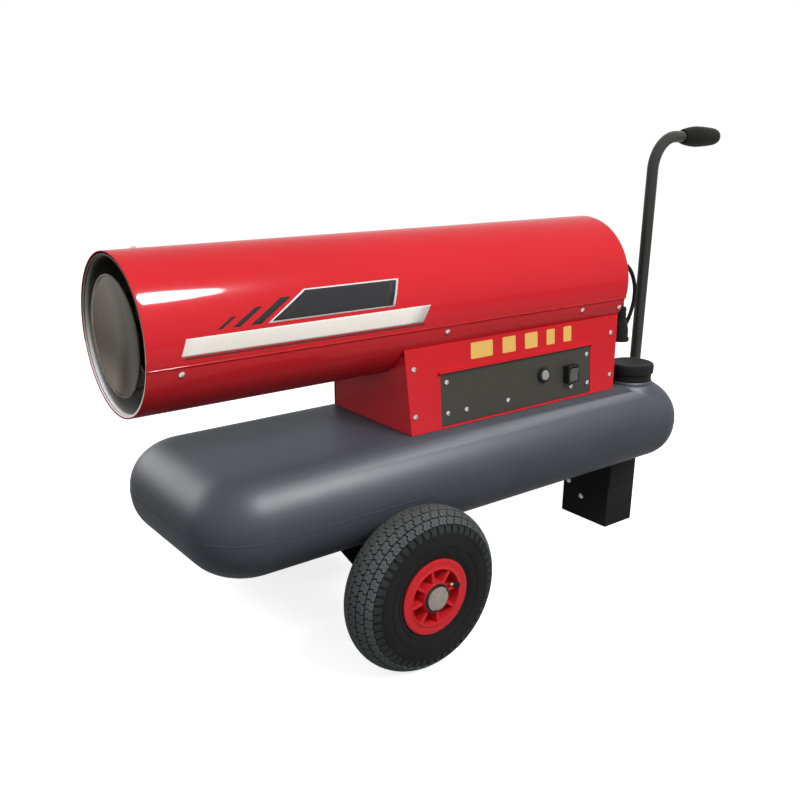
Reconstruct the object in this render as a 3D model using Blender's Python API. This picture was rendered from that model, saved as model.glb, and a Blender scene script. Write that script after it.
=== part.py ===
"""Oil-fired space heater: a hot-air tube on a control box, over a wheeled fuel tank.

Lengths are in metres and +Z is up. The hot air leaves the tube towards -X, the grip of the
handle points towards +X, and the control panel faces -Y. Left and right are those of a person
who holds the grip and looks along the tube, so left is -Y.
Stations along the heater are measured from the outlet of the tube, in the frame of one empty.
"""

import math

import bmesh
import bpy
from mathutils import Matrix, Vector

# Fits
FIT = 0.0003
RUN = 0.0006
OVERRUN = 0.004
MERGE = 0.00001
CREASE = math.radians(35)
MIN_SECTORS = 24
ROUND_STEPS = 24
MEDIUM_STEPS = 16
SMALL_STEPS = 12
PIPE_RESOLUTION = 2
CORNER_STEPS = 4
CURVE_PARTS = 12

# Jacket round the hot-air tube
TUBE_LENGTH = 0.912
TUBE_RADIUS = 0.112
TUBE_AXIS_Z = 0.514
JACKET_SHEET = 0.0012
SEAM_DROP = math.radians(13)
SEAM_LAP = math.radians(5)
JACKET_STEP = math.radians(5.6)
TURN_STEPS = 40

# Heat shield inside the jacket
LINER_RADIUS = 0.1050
LINER_WALL = 0.0010
LINER_OVERHANG = 0.017
LIP_DEPTH = 0.0040
LIP_WALL = 0.0022
LIP_FLARE = 0.0060

# Combustion chamber
CHAMBER_FRONT = 0.058
CHAMBER_RADIUS = 0.0800
CHAMBER_WALL = 0.0012
CHAMBER_CONE = 0.032
CHAMBER_THROAT = 0.0440
STRUT_STATION = 0.072
STRUT_SHEET = 0.0020
STRUT_RIM = 0.0025
STRUT_TURN = math.radians(3)
STRUT_ARMS = 3

# Flame disc at the outlet
DISC_STATION = 0.0040
DISC_RADIUS = 0.0820
DISC_DISH = 0.0140
DISC_SHEET = 0.0014
DISC_BEAD = 0.0026
DISC_RINGS = 3
STRAP_SHEET = 0.0014
STRAP_WIDTH = 0.014
STRAP_REACH = 0.030
STRAP_RING = 0.014
STRAP_STANDOFF = 0.0042
STRAP_COUNT = 3
STRAP_TURN = math.radians(60)

# Rear support ring of the chamber
SUPPORT_SETBACK = 0.023
SUPPORT_SHEET = 0.0020
SUPPORT_RIM = 0.0055
SUPPORT_ARMS = 6

# Burner head
CUP_LAP = 0.0150
CUP_LENGTH = 0.0680
CUP_WALL = 0.0012
CUP_HOLE = 0.0150
NOZZLE_TIP = 0.0060
NOZZLE_TIP_LENGTH = 0.0100
HOLDER_RADIUS = 0.0090
HOLDER_LENGTH = 0.0900
SPIDER_SETBACK = 0.0600
SPIDER_HUB = 0.0045
SPIDER_RIM = 0.0040
SPIDER_ARMS = 3
ELECTRODE_RADIUS = 0.0020
ELECTRODE_LENGTH = 0.0580

# Fan motor, its bracket and its shaft
MOTOR_LENGTH = 0.1120
MOTOR_RADIUS = 0.0460
MOTOR_BAND = 0.0018
MOTOR_BELL = 0.0160
MOTOR_BOSS = 0.0180
MOTOR_BOSS_LENGTH = 0.0080
MOTOR_BOSS_NOSE = 0.0145
SHAFT_RADIUS = 0.0050
SHAFT_LENGTH = 0.1000
SHAFT_BITE = 0.0360
BRACKET_SETBACK = 0.0520
BRACKET_SHEET = 0.0040
BRACKET_RIM = 0.0060
BRACKET_ARMS = 4

# Fuel pump on the front of the motor
PUMP_LENGTH = 0.0500
PUMP_RADIUS = 0.0280
PUMP_FLANGE_RADIUS = 0.0360
PUMP_FLANGE = 0.0060
PUMP_NOSE_RADIUS = 0.0120
PUMP_NOSE = 0.0060
FEED_PIPE_RADIUS = 0.0025
FEED_LENGTH = 0.0687
FEED_LOOP = 0.0180
FEED_BEND = 0.0050
FEED_PARTS = 5
SUCTION_PIPE_RADIUS = 0.0030
SUCTION_SETBACK = 0.0250
GROMMET_RADIUS = 0.0100

# Axial fan
FAN_DEPTH_IN_TUBE = 0.0860
FAN_GAP = 0.0240
FAN_HUB_RADIUS = 0.0220
FAN_HUB_LENGTH = 0.0300
FAN_RADIUS = 0.1010
FAN_ROOT_RADIUS = 0.0187
FAN_HUB_STEPS = 30
FAN_BLADES = 5
FAN_BLADE_SHEET = 0.0018
FAN_ROOT_CHORD = 0.0300
FAN_TIP_CHORD = 0.0620
FAN_ROOT_PITCH = math.radians(48)
FAN_TIP_PITCH = math.radians(24)
FAN_CAMBER_SHARE = 0.08
FAN_SPAN_STEPS = 3
FAN_CHORD_STEPS = 3

# Wire guard over the air inlet
GUARD_SETBACK = 0.0220
GUARD_DOME = 0.0140
GUARD_RINGS = 4
GUARD_WIRE = 0.0030
GUARD_SECTORS = 30
GUARD_BARS = 6
GUARD_HUB = 0.0160
GUARD_EYE = 0.0053
GUARD_RING_PITCH = 0.0240

# Control box under the tube
BOX_SETBACK = 0.0160
BOX_LENGTH = 0.4765
BOX_FRONT_LEAN = 0.0080
BOX_REAR_LEAN = 0.0110
BOX_HALF_WIDTH = 0.1090
BOX_TOP_HALF_WIDTH = 0.0975
BOX_HEIGHT = 0.1365
BOX_SHEET = 0.0012
BOX_FLANGE = 0.0150
SADDLE_STEPS = 14
SIDE_TOP_GAP = 0.0006

# Recess and hood for the control plate, on the left side panel
RECESS_FRONT = 0.0615
RECESS_REAR = 0.0640
RECESS_FOOT = 0.0035
RECESS_HEIGHT = 0.0870
RECESS_DEPTH = 0.0030
HOOD_DEPTH = 0.0050
HOOD_THICKNESS = 0.0030
PLATE_THICKNESS = 0.0020
PLATE_MARGIN = 0.0008

# Switch and reset button on the control plate
SWITCH_FRONT = 0.2820
SWITCH_FOOT = 0.0275
SWITCH_LENGTH = 0.0270
SWITCH_HEIGHT = 0.0310
SWITCH_DEPTH = 0.0130
SWITCH_WALL = 0.0030
ROCKER_CLEARANCE = 0.0008
ROCKER_THICKNESS = 0.0060
ROCKER_HEEL = 0.0023
ROCKER_TILT = math.radians(7)
RESET_STATION = 0.2310
RESET_FOOT = 0.0500
BEZEL_RADIUS = 0.0132
BEZEL_HEIGHT = 0.0065
BEZEL_CHAMFER = 0.0025
BEZEL_LIP_RADIUS = 0.0112
BEZEL_FLOOR = 0.0010
BUTTON_RADIUS = 0.0090
BUTTON_NOSE_RADIUS = 0.0080
BUTTON_PROUD = 0.0004
BUTTON_TRAVEL = 0.0030
BUTTON_EDGE = 0.0010
BUTTON_DOME = 0.0006

# Parts inside the control box
CONTROLLER_SIZE = (0.105, 0.060, 0.062)
CONTROLLER_AHEAD = 0.1047
TRANSFORMER_SIZE = (0.085, 0.066, 0.058)
TRANSFORMER_BEHIND = 0.1253
INNER_BEVEL = 0.0040
INNER_BEVEL_STEPS = 2
FILTER_RADIUS = 0.0200
FILTER_HEIGHT = 0.0620
FILTER_NECK = 0.0090

# Fuel tank
TANK_FRONT = 0.0415
TANK_OVERHANG = 0.1720
TANK_HALF_WIDTH = 0.1765
TANK_TOP = 0.3210
TANK_HEIGHT = 0.1475
TANK_EDGE = 0.0695
TANK_SHOULDER = 0.0780
TANK_WALL = 0.0045
TANK_FRONT_CORNER = 0.0930
TANK_REAR_CROWN = 0.1030
TANK_REAR_CORNER = 0.1650
TANK_CORNER_STEPS = 7
TANK_EDGE_STEPS = 6
LUG_SETBACK = 0.0340
LUG_LENGTH = 0.0760
LUG_HALF_WIDTH = 0.0600
LUG_FOOT = 0.0860
LUG_BITE = 0.0230
TONGUE_FOOT = 0.0300

# Filler neck and cap
CAP_BEHIND_TUBE = 0.0510
CAP_OFFSET = 0.0950
NECK_RADIUS = 0.0355
NECK_BORE = 0.0290
NECK_TOP = 0.3514
NECK_FLANGE = 0.0050
NECK_BOSS = 0.0010
NECK_FILLET = 0.0040
NECK_FILLET_STEPS = 2
CAP_RADIUS = 0.0418
CAP_HEIGHT = 0.0180
CAP_WALL = 0.0045
CAP_EDGE = 0.0030
SEAL_THICKNESS = 0.0025
SEAL_RADIUS = 0.0350
CAP_STEPS = 32

# Wheels
WHEEL_STATION = 0.3470
WHEEL_RADIUS = 0.1300
WHEEL_OFFSET = 0.2260
TYRE_HALF_WIDTH = 0.0400
TYRE_STEPS = 32
TYRE_SECTION_SHARES = ((0.92, 0.29), (1, 0.485), (0.94, 0.661), (0.76, 0.82), (0.42, 0.952), (0, 1))
RIM_RADIUS = 0.0595
RIM_SEAT = 0.0508
RIM_BORE = 0.0442
RIM_HALF_WIDTH = 0.0365
RIM_FLANGE = 0.0035
RIM_TAPER = 0.0040
HUB_RADIUS = 0.0235
HUB_HALF_LENGTH = 0.0385
SPOKE_COUNT = 8
SPOKE_WIDTH = 0.0060
SPOKE_SETBACK = 0.0055
SPOKE_DEPTH = 0.0240
SPOKE_TURN = math.radians(9)
WINDOW_STEPS = 3
HUBCAP_RADIUS = 0.0200
HUBCAP_RISE = 0.0090
HUBCAP_BITE = 0.0045
HUBCAP_STEPS = 5
VALVE_RADIUS = 0.0036
VALVE_LENGTH = 0.0156
VALVE_BODY = 0.0088
VALVE_TIP_RADIUS = 0.0022
VALVE_PLACE = (0.0410, -0.0352, 0.0080)
VALVE_LEAN = math.radians(20.4)

# Axle and its brackets
AXLE_RADIUS = 0.0100
SPACER_WALL = 0.0030
BRACKET_OFFSET = 0.1000
BRACKET_PLATE = 0.0030
BRACKET_TOP_HALF = 0.0690
BRACKET_NOSE = 0.0300
BRACKET_SHELF = 0.0320
BRACKET_NOSE_STEPS = 6

# Foot and handle
FOOT_ROOM = 0.0010
FOOT_PLATE = 0.0030
FOOT_SIDE_TOP = 0.0855
POLE_GAP = 0.0115
POLE_RADIUS = 0.0110
POLE_FOOT = 0.0340
POLE_BEND_RADIUS = 0.0620
POLE_BEND_STEPS = 8
POLE_RESOLUTION = 4
POLE_TOP = 0.7660
POLE_REACH = 0.1785
SOCKET_WALL = 0.0030
SOCKET_FOOT = 0.0300
SOCKET_TOP = 0.1500
SOCKET_WEB = 0.0080
SOCKET_PLATE = 0.0040
SOCKET_PLATE_HALF = 0.0440
CLAMP_HEIGHT = 0.0240
CLAMP_STRAP = 0.0030
CLAMP_EAR = 0.0300
CLAMP_STEPS = 8
GRIP_NEAR = 0.0845
GRIP_FAR = 0.1985
GRIP_RADIUS = 0.0200
GRIP_SECTION_SHARES = ((0, 0.70), (0.13, 0.86), (0.38, 1), (0.76, 0.88), (0.92, 0.70), (1, 0.38))

# Mains lead, its gland, hook and plug
CORD_RADIUS = 0.0038
CORD_SPACING = 0.0167
GLAND_OFFSET = 0.0500
GLAND_RISE = 0.0737
GLAND_COLLAR_RADIUS = 0.0110
GLAND_COLLAR = 0.0050
GLAND_NECK_RADIUS = 0.0088
GLAND_LENGTH = 0.0300
GLAND_TIP_RADIUS = 0.0058
BOOT_RIBS = 3
RIB_SHARE = 0.6
HOOK_RADIUS = 0.0025
HOOK_RISE = 0.0181
HOOK_OFFSET = 0.0180
HOOK_BEHIND_TUBE = 0.0360
HOOK_REACH = 0.0590
HOOK_LIP = 0.0110
HOOK_BEND = 0.0060
HOOK_PAD = 0.0160
HOOK_PAD_SHEET = 0.0020
PLUG_BEHIND_TUBE = 0.0140
PLUG_OFFSET = 0.0895
PLUG_FACE_Z = 0.4050
PLUG_RADIUS = 0.0182
PLUG_FACE = 0.0060
PLUG_WAIST = 0.0160
PLUG_BODY = 0.0200
PLUG_SHOULDER = 0.0310
PLUG_SHOULDER_RADIUS = 0.0135
PLUG_LENGTH = 0.0390
PLUG_BOOT_RADIUS = 0.0105
PLUG_BOOT_LENGTH = 0.0240
PLUG_BOOT_TIP = 0.0090

# Bolts of the foot, as height and offset on its front plate
BOLT_RADIUS = 0.0060
BOLT_HEIGHT = 0.0045
BOLT_CHAMFER = 0.0009
BOLT_STEPS = 6
FOOT_BOLTS = (("upper", 0.0435, 0.0720), ("lower", 0.0069, 0.0480))

# Stations that follow the rear end of the tube
GUARD_STATION = TUBE_LENGTH - GUARD_SETBACK
FAN_STATION = TUBE_LENGTH - FAN_DEPTH_IN_TUBE
MOTOR_REAR = FAN_STATION - FAN_GAP
MOTOR_FRONT = MOTOR_REAR - MOTOR_LENGTH
PUMP_FRONT = MOTOR_FRONT - FIT - PUMP_LENGTH
FILTER_STATION = PUMP_FRONT + SUCTION_SETBACK
HOLDER_REAR = PUMP_FRONT - PUMP_NOSE - FEED_LENGTH
NOZZLE_FRONT = HOLDER_REAR - HOLDER_LENGTH - NOZZLE_TIP_LENGTH
CUP_FRONT = NOZZLE_FRONT + NOZZLE_TIP_LENGTH / 2
CHAMBER_END = CUP_FRONT + CUP_LAP
CHAMBER_REAR = CHAMBER_END - CHAMBER_CONE
LINER_LENGTH = CHAMBER_REAR + LINER_OVERHANG
SUPPORT_STATION = CHAMBER_REAR - SUPPORT_SETBACK
BOX_REAR = TUBE_LENGTH - BOX_SETBACK
BOX_FRONT = BOX_REAR - BOX_LENGTH
TANK_REAR = TUBE_LENGTH + TANK_OVERHANG
CAP_STATION = TUBE_LENGTH + CAP_BEHIND_TUBE
LUG_REAR = TANK_REAR - LUG_SETBACK
LUG_FRONT = LUG_REAR - LUG_LENGTH
FOOT_FRONT = LUG_FRONT - FOOT_ROOM - FOOT_PLATE
POLE_STATION = TANK_REAR + POLE_GAP
POLE_END = POLE_STATION + POLE_REACH
GRIP_START = POLE_STATION + GRIP_NEAR
GRIP_END = POLE_STATION + GRIP_FAR
HOOK_STATION = TUBE_LENGTH + HOOK_BEHIND_TUBE
PLUG_STATION = TUBE_LENGTH + PLUG_BEHIND_TUBE

# Sizes that follow from the ones above
OVERALL_LENGTH = GRIP_END
LOWER_RADIUS = TUBE_RADIUS - JACKET_SHEET - FIT
JACKET_BORE = LOWER_RADIUS - JACKET_SHEET
LIP_RADIUS = JACKET_BORE - FIT
LINER_BORE = LINER_RADIUS - LINER_WALL
BOX_FOOT_Z = TANK_TOP + FIT
PANEL_LEAN = math.atan2(BOX_HALF_WIDTH - BOX_TOP_HALF_WIDTH, BOX_HEIGHT)
REAR_LEAN = math.atan2(BOX_REAR_LEAN, BOX_HEIGHT)
PANEL_HEIGHT = BOX_HEIGHT / math.cos(PANEL_LEAN)
TANK_MID = TANK_TOP - TANK_HEIGHT / 2
TANK_FOOT = TANK_TOP - TANK_HEIGHT
CAP_TOP = NECK_TOP + SEAL_THICKNESS + CAP_WALL + FIT + FIT
HUB_BORE = AXLE_RADIUS + FIT
POLE_BORE = POLE_RADIUS + FIT

# Route of the mains lead, from the gland over the hook and down to the boot of the plug.
# Stations here are measured from the rear end of the tube.
CORD_ROUTE = (
    (0.0205, -0.0500, 0.3926), (0.0325, -0.0500, 0.3917), (0.0460, -0.0500, 0.3925),
    (0.0595, -0.0495, 0.3980), (0.0720, -0.0490, 0.4090), (0.0835, -0.0500, 0.4260),
    (0.0915, -0.0515, 0.4475), (0.0945, -0.0530, 0.4700), (0.0910, -0.0550, 0.4920),
    (0.0800, -0.0580, 0.5120), (0.0640, -0.0620, 0.5285), (0.0450, -0.0670, 0.5385),
    (0.0270, -0.0735, 0.5375), (0.0135, -0.0805, 0.5260), (0.0080, -0.0860, 0.5080),
    (0.0105, -0.0890, 0.4910), (0.0140, -0.0895, 0.4780), (0.0140, -0.0895, 0.4683),
)

# Colour, roughness and metalness of each finish
FINISHES = {
    "red_paint": ((0.62, 0.035, 0.045), 0.25, 0),
    "rim_red": ((0.62, 0.035, 0.045), 0.35, 0),
    "black_steel": ((0.012, 0.012, 0.013), 0.45, 0),
    "black_plastic": ((0.012, 0.012, 0.013), 0.5, 0),
    "pole_steel": ((0.035, 0.035, 0.033), 0.35, 0),
    "control_grey": ((0.055, 0.053, 0.045), 0.5, 0),
    "motor_grey": ((0.10, 0.105, 0.11), 0.45, 0),
    "tank_plastic": ((0.085, 0.100, 0.125), 0.4, 0),
    "controller_blue": ((0.05, 0.07, 0.12), 0.5, 0),
    "transformer_black": ((0.03, 0.03, 0.03), 0.5, 0),
    "filter_bowl": ((0.46, 0.44, 0.38), 0.3, 0),
    "porcelain": ((0.80, 0.79, 0.75), 0.3, 0),
    "clear_cap": ((0.78, 0.78, 0.76), 0.15, 0),
    "bare_steel": ((0.55, 0.54, 0.52), 0.3, 1),
    "zinc_steel": ((0.62, 0.62, 0.60), 0.35, 1),
    "brass": ((0.62, 0.45, 0.18), 0.35, 1),
    "copper": ((0.70, 0.33, 0.20), 0.3, 1),
    "cast_alloy": ((0.42, 0.42, 0.41), 0.5, 1),
    "fan_alloy": ((0.60, 0.60, 0.60), 0.4, 1),
    "tyre_rubber": ((0.02, 0.02, 0.02), 0.75, 0),
    "cord_rubber": ((0.012, 0.012, 0.013), 0.6, 0),
    "grip_rubber": ((0.012, 0.012, 0.013), 0.6, 0),
    "valve_rubber": ((0.012, 0.012, 0.013), 0.6, 0),
    "seal_rubber": ((0.012, 0.012, 0.013), 0.8, 0),
}

AXIS = {"X": Vector((1, 0, 0)), "Y": Vector((0, 1, 0)), "Z": Vector((0, 0, 1))}


def clear_scene():
    for item in list(bpy.data.objects):
        bpy.data.objects.remove(item, do_unlink=True)


def finish(name):
    """A plain surface from the table of finishes, made once and then shared."""
    material = bpy.data.materials.get(name)
    if material is None:
        colour, roughness, metallic = FINISHES[name]
        material = bpy.data.materials.new(name)
        material.use_nodes = True
        shader = material.node_tree.nodes["Principled BSDF"]
        shader.inputs["Base Color"].default_value = (*colour, 1)
        shader.inputs["Roughness"].default_value = roughness
        shader.inputs["Metallic"].default_value = metallic
        material.diffuse_color = (*colour, 1)
    return material


def empty(name, location, parent=None, rotation=(0, 0, 0)):
    marker = bpy.data.objects.new(name, None)
    bpy.context.scene.collection.objects.link(marker)
    marker.location = location
    marker.rotation_euler = rotation
    marker.parent = parent
    return marker


def add_mesh(name, mesh, surface_name, parent, location=(0, 0, 0), rotation=(0, 0, 0)):
    piece = bpy.data.objects.new(name, mesh)
    bpy.context.scene.collection.objects.link(piece)
    piece.parent = parent
    piece.location = location
    piece.rotation_euler = rotation
    if surface_name:
        mesh.materials.append(finish(surface_name))
    return piece


def add(name, bm, surface_name, parent, location=(0, 0, 0), rotation=(0, 0, 0)):
    """Turn a finished bmesh into a smooth-shaded object with crisp edges."""
    mesh = bpy.data.meshes.new(name)
    bm.to_mesh(mesh)
    bm.free()
    mesh.shade_smooth()
    mesh.set_sharp_from_angle(angle=CREASE)
    return add_mesh(name, mesh, surface_name, parent, location, rotation)


def as_cutter(piece):
    piece.hide_render = True
    piece.display_type = 'WIRE'
    return piece


def boolean(piece, cutter, operation):
    modifier = piece.modifiers.new(operation.lower(), 'BOOLEAN')
    modifier.operation = operation
    modifier.solver = 'EXACT'
    modifier.object = as_cutter(cutter)
    return modifier


def solidify(piece, thickness, offset=-1):
    modifier = piece.modifiers.new("sheet", 'SOLIDIFY')
    modifier.thickness = thickness
    modifier.offset = offset
    modifier.use_even_offset = True
    return modifier


def bevel(piece, width, segments=1):
    modifier = piece.modifiers.new("edges", 'BEVEL')
    modifier.width = width
    modifier.segments = segments
    modifier.limit_method = 'ANGLE'
    modifier.angle_limit = CREASE
    return modifier


def turned(profile, steps, axis="X"):
    """Turn (along, radius) points once round an axis.

    A profile that starts and ends on the axis stays open there. Any other is a closed ring.
    """
    bm = bmesh.new()
    place = {"X": lambda a, r: (a, 0, r), "Y": lambda a, r: (0, a, r), "Z": lambda a, r: (r, 0, a)}
    verts = [bm.verts.new(place[axis](along, radius)) for along, radius in profile]
    pairs = list(zip(verts, verts[1:]))
    if profile[0][1] > 0 or profile[-1][1] > 0:
        pairs.append((verts[-1], verts[0]))
    edges = [bm.edges.new(pair) for pair in pairs]
    bmesh.ops.spin(bm, geom=verts + edges, cent=(0, 0, 0), axis=AXIS[axis],
                   angle=2 * math.pi, steps=steps, use_merge=True)
    bmesh.ops.remove_doubles(bm, verts=bm.verts, dist=MERGE)
    bmesh.ops.recalc_face_normals(bm, faces=bm.faces)
    return bm


def extruded(outline, depth, axis="Z"):
    """A prism: a flat outline of 3-D points pushed along an axis."""
    bm = bmesh.new()
    face = bm.faces.new([bm.verts.new(point) for point in outline])
    pushed = bmesh.ops.extrude_face_region(bm, geom=[face])
    moved = [item for item in pushed["geom"] if isinstance(item, bmesh.types.BMVert)]
    bmesh.ops.translate(bm, verts=moved, vec=AXIS[axis] * depth)
    bmesh.ops.recalc_face_normals(bm, faces=bm.faces)
    return bm


def block(low, high):
    """A rectangular block between two corners."""
    (x0, y0, z0), (x1, y1, z1) = low, high
    return extruded([(x0, y0, z0), (x1, y0, z0), (x1, y1, z0), (x0, y1, z0)], z1 - z0)


def surface(points, faces):
    """An open sheet from named corner points; each face lists its corners from outside."""
    bm = bmesh.new()
    verts = {key: bm.verts.new(point) for key, point in points.items()}
    for corners in faces:
        bm.faces.new([verts[key] for key in corners])
    return bm


def polar_plate(radii, sectors, is_filled, station=lambda radius: 0):
    """A flat or domed plate in the YZ plane, made of filled cells of a polar grid."""
    bm = bmesh.new()
    grid = {}

    def corner(ring, sector):
        key = (ring, sector % sectors)
        if key not in grid:
            angle = 2 * math.pi * key[1] / sectors
            radius = radii[ring]
            grid[key] = bm.verts.new((station(radius), radius * math.cos(angle),
                                      radius * math.sin(angle)))
        return grid[key]

    for ring in range(len(radii) - 1):
        for sector in range(sectors):
            if is_filled(ring, sector):
                bm.faces.new([corner(ring, sector), corner(ring + 1, sector),
                              corner(ring + 1, sector + 1), corner(ring, sector + 1)])
    bmesh.ops.recalc_face_normals(bm, faces=bm.faces)
    return bm


def spoked_ring(name, hub_radius, hub_rim, outer_radius, outer_rim, arms, sheet, surface_name,
                parent, station):
    """A flat spider: a ring round a hub, a ring on a wall, and arms between them."""
    sectors_per_arm = math.ceil(MIN_SECTORS / arms)
    inner = hub_radius / math.cos(math.pi / (arms * sectors_per_arm))
    radii = [inner, inner + hub_rim, outer_radius - outer_rim, outer_radius]
    bm = polar_plate(radii, arms * sectors_per_arm,
                     lambda ring, sector: ring != 1 or sector % sectors_per_arm == 0)
    piece = add(name, bm, surface_name, parent, (station, 0, 0))
    solidify(piece, sheet, 0)
    return piece


def tube(name, points, radius, surface_name, parent, resolution=PIPE_RESOLUTION):
    """A round bar along a list of points, closed at both ends."""
    curve = bpy.data.curves.new(name, 'CURVE')
    curve.dimensions = '3D'
    curve.bevel_depth = radius
    curve.bevel_resolution = resolution
    curve.use_fill_caps = True
    spline = curve.splines.new('POLY')
    spline.points.add(len(points) - 1)
    for target, point in zip(spline.points, points):
        target.co = (*point, 1)
    curve.materials.append(finish(surface_name))
    piece = bpy.data.objects.new(name, curve)
    bpy.context.scene.collection.objects.link(piece)
    piece.parent = parent
    return piece


def bar(points, radius, sides):
    """A round bar along a list of points, as a closed mesh that a Boolean can take."""
    bm = bmesh.new()
    rings = []
    way = (points[1] - points[0]).normalized()
    across = way.orthogonal().normalized()
    for index, point in enumerate(points):
        before, after = points[max(index - 1, 0)], points[min(index + 1, len(points) - 1)]
        turn = way.rotation_difference((after - before).normalized())
        way = (after - before).normalized()
        across = turn @ across
        other = way.cross(across)
        ring = []
        for side in range(sides):
            angle = 2 * math.pi * side / sides
            ring.append(bm.verts.new(point + across * (radius * math.cos(angle))
                                     + other * (radius * math.sin(angle))))
        rings.append(ring)
    for near, far in zip(rings, rings[1:]):
        for side in range(sides):
            after = (side + 1) % sides
            bm.faces.new([near[side], near[after], far[after], far[side]])
    bm.faces.new(rings[0])
    bm.faces.new(rings[-1])
    bmesh.ops.recalc_face_normals(bm, faces=bm.faces)
    return bm


def rounded_route(corners, radius, steps=CORNER_STEPS):
    """Replace each inner corner of a route by an arc of the given radius."""
    points = [Vector(corners[0])]
    for before, corner, after in zip(corners, corners[1:], corners[2:]):
        corner = Vector(corner)
        towards = (Vector(before) - corner).normalized()
        away = (Vector(after) - corner).normalized()
        half = towards.angle(away) / 2
        centre = corner + (towards + away).normalized() * (radius / math.sin(half))
        start = corner + towards * (radius / math.tan(half)) - centre
        end = corner + away * (radius / math.tan(half)) - centre
        for step in range(steps + 1):
            spoke = start.slerp(end, step / steps)
            points.append(centre + spoke.normalized() * radius)
    points.append(Vector(corners[-1]))
    return points


def smooth_route(points, spacing):
    """Points at even steps on a smooth curve through the route's own points."""
    knots = [Vector(point) for point in points]
    dense = []
    for index in range(len(knots) - 1):
        before = knots[max(index - 1, 0)]
        start, end = knots[index], knots[index + 1]
        after = knots[min(index + 2, len(knots) - 1)]
        for part in range(CURVE_PARTS):
            t = part / CURVE_PARTS
            dense.append(0.5 * (2 * start + (end - before) * t
                                + (2 * before - 5 * start + 4 * end - after) * t ** 2
                                + (3 * start - before - 3 * end + after) * t ** 3))
    dense.append(knots[-1])
    total = sum((b - a).length for a, b in zip(dense, dense[1:]))
    count = round(total / spacing)
    even, run, index = [dense[0]], 0, 0
    for step in range(1, count):
        goal = total * step / count
        while run + (dense[index + 1] - dense[index]).length < goal:
            run += (dense[index + 1] - dense[index]).length
            index += 1
        even.append(dense[index].lerp(dense[index + 1],
                                      (goal - run) / (dense[index + 1] - dense[index]).length))
    even.append(dense[-1])
    return even


def round_the_tube(radius, angle):
    """Offsets across and up from the tube's axis. Angle zero faces the left side."""
    return -radius * math.cos(angle), radius * math.sin(angle)


def jacket_half(name, radius, first, last, parent, cutters=()):
    steps = max(round((last - first) / JACKET_STEP), 1)
    bm = bmesh.new()
    rows = []
    for step in range(steps + 1):
        y, z = round_the_tube(radius, first + (last - first) * step / steps)
        rows.append((bm.verts.new((0, y, z)), bm.verts.new((TUBE_LENGTH, y, z))))
    for (a0, a1), (b0, b1) in zip(rows, rows[1:]):
        bm.faces.new([a0, a1, b1, b0])
    piece = add(name, bm, "red_paint", parent)
    solidify(piece, JACKET_SHEET)
    for cutter in cutters:
        boolean(piece, cutter, 'DIFFERENCE')
    return piece


def build_jacket(axis):
    suction = (FILTER_STATION, 0, 0)
    hole = add("suction_hole", turned([(-TUBE_RADIUS - OVERRUN, 0),
                                       (-TUBE_RADIUS - OVERRUN, GROMMET_RADIUS),
                                       (-JACKET_BORE + OVERRUN, GROMMET_RADIUS),
                                       (-JACKET_BORE + OVERRUN, 0)], SMALL_STEPS, "Z"),
               None, axis, suction)
    jacket_half("jacket_upper", TUBE_RADIUS, -SEAM_DROP, math.pi + SEAM_DROP, axis)
    jacket_half("jacket_lower", LOWER_RADIUS, math.pi + SEAM_DROP - SEAM_LAP,
                2 * math.pi - SEAM_DROP + SEAM_LAP, axis, [hole])


def build_liner(axis):
    steel = "bare_steel"
    flare = LIP_DEPTH + LIP_FLARE
    profile = [
        (FIT, LIP_RADIUS), (LIP_DEPTH, LIP_RADIUS), (flare, LINER_RADIUS),
        (LINER_LENGTH - flare, LINER_RADIUS), (LINER_LENGTH - LIP_DEPTH, LIP_RADIUS),
        (LINER_LENGTH, LIP_RADIUS), (LINER_LENGTH, LIP_RADIUS - LINER_WALL),
        (LINER_LENGTH - LIP_DEPTH, LIP_RADIUS - LINER_WALL),
        (LINER_LENGTH - flare, LINER_BORE), (flare, LINER_BORE),
        (LIP_DEPTH, LIP_RADIUS - LIP_WALL), (FIT, LIP_RADIUS - LIP_WALL),
    ]
    add("outlet_liner", turned(profile, TURN_STEPS), steel, axis)


def build_chamber(axis):
    steel = "bare_steel"
    profile = [
        (CHAMBER_FRONT, CHAMBER_RADIUS), (CHAMBER_REAR, CHAMBER_RADIUS),
        (CHAMBER_END, CHAMBER_THROAT), (CHAMBER_END, CHAMBER_THROAT - CHAMBER_WALL),
        (CHAMBER_REAR - CHAMBER_WALL, CHAMBER_RADIUS - CHAMBER_WALL),
        (CHAMBER_FRONT, CHAMBER_RADIUS - CHAMBER_WALL),
    ]
    add("combustion_chamber", turned(profile, TURN_STEPS), steel, axis)

    struts = spoked_ring("chamber_struts", CHAMBER_RADIUS + FIT, STRUT_RIM, LINER_BORE - FIT,
                         STRUT_RIM, STRUT_ARMS, STRUT_SHEET, steel, axis, STRUT_STATION)
    struts.rotation_euler = (STRUT_TURN, 0, 0)
    spoked_ring("chamber_support", CHAMBER_RADIUS + FIT, SUPPORT_RIM, LINER_BORE - FIT,
                SUPPORT_RIM, SUPPORT_ARMS, SUPPORT_SHEET, steel, axis, SUPPORT_STATION)


def disc_station(radius):
    """Front face of the dished disc, deepest on its axis."""
    return DISC_STATION + DISC_DISH * (1 - (radius / DISC_RADIUS) ** 2)


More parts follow.
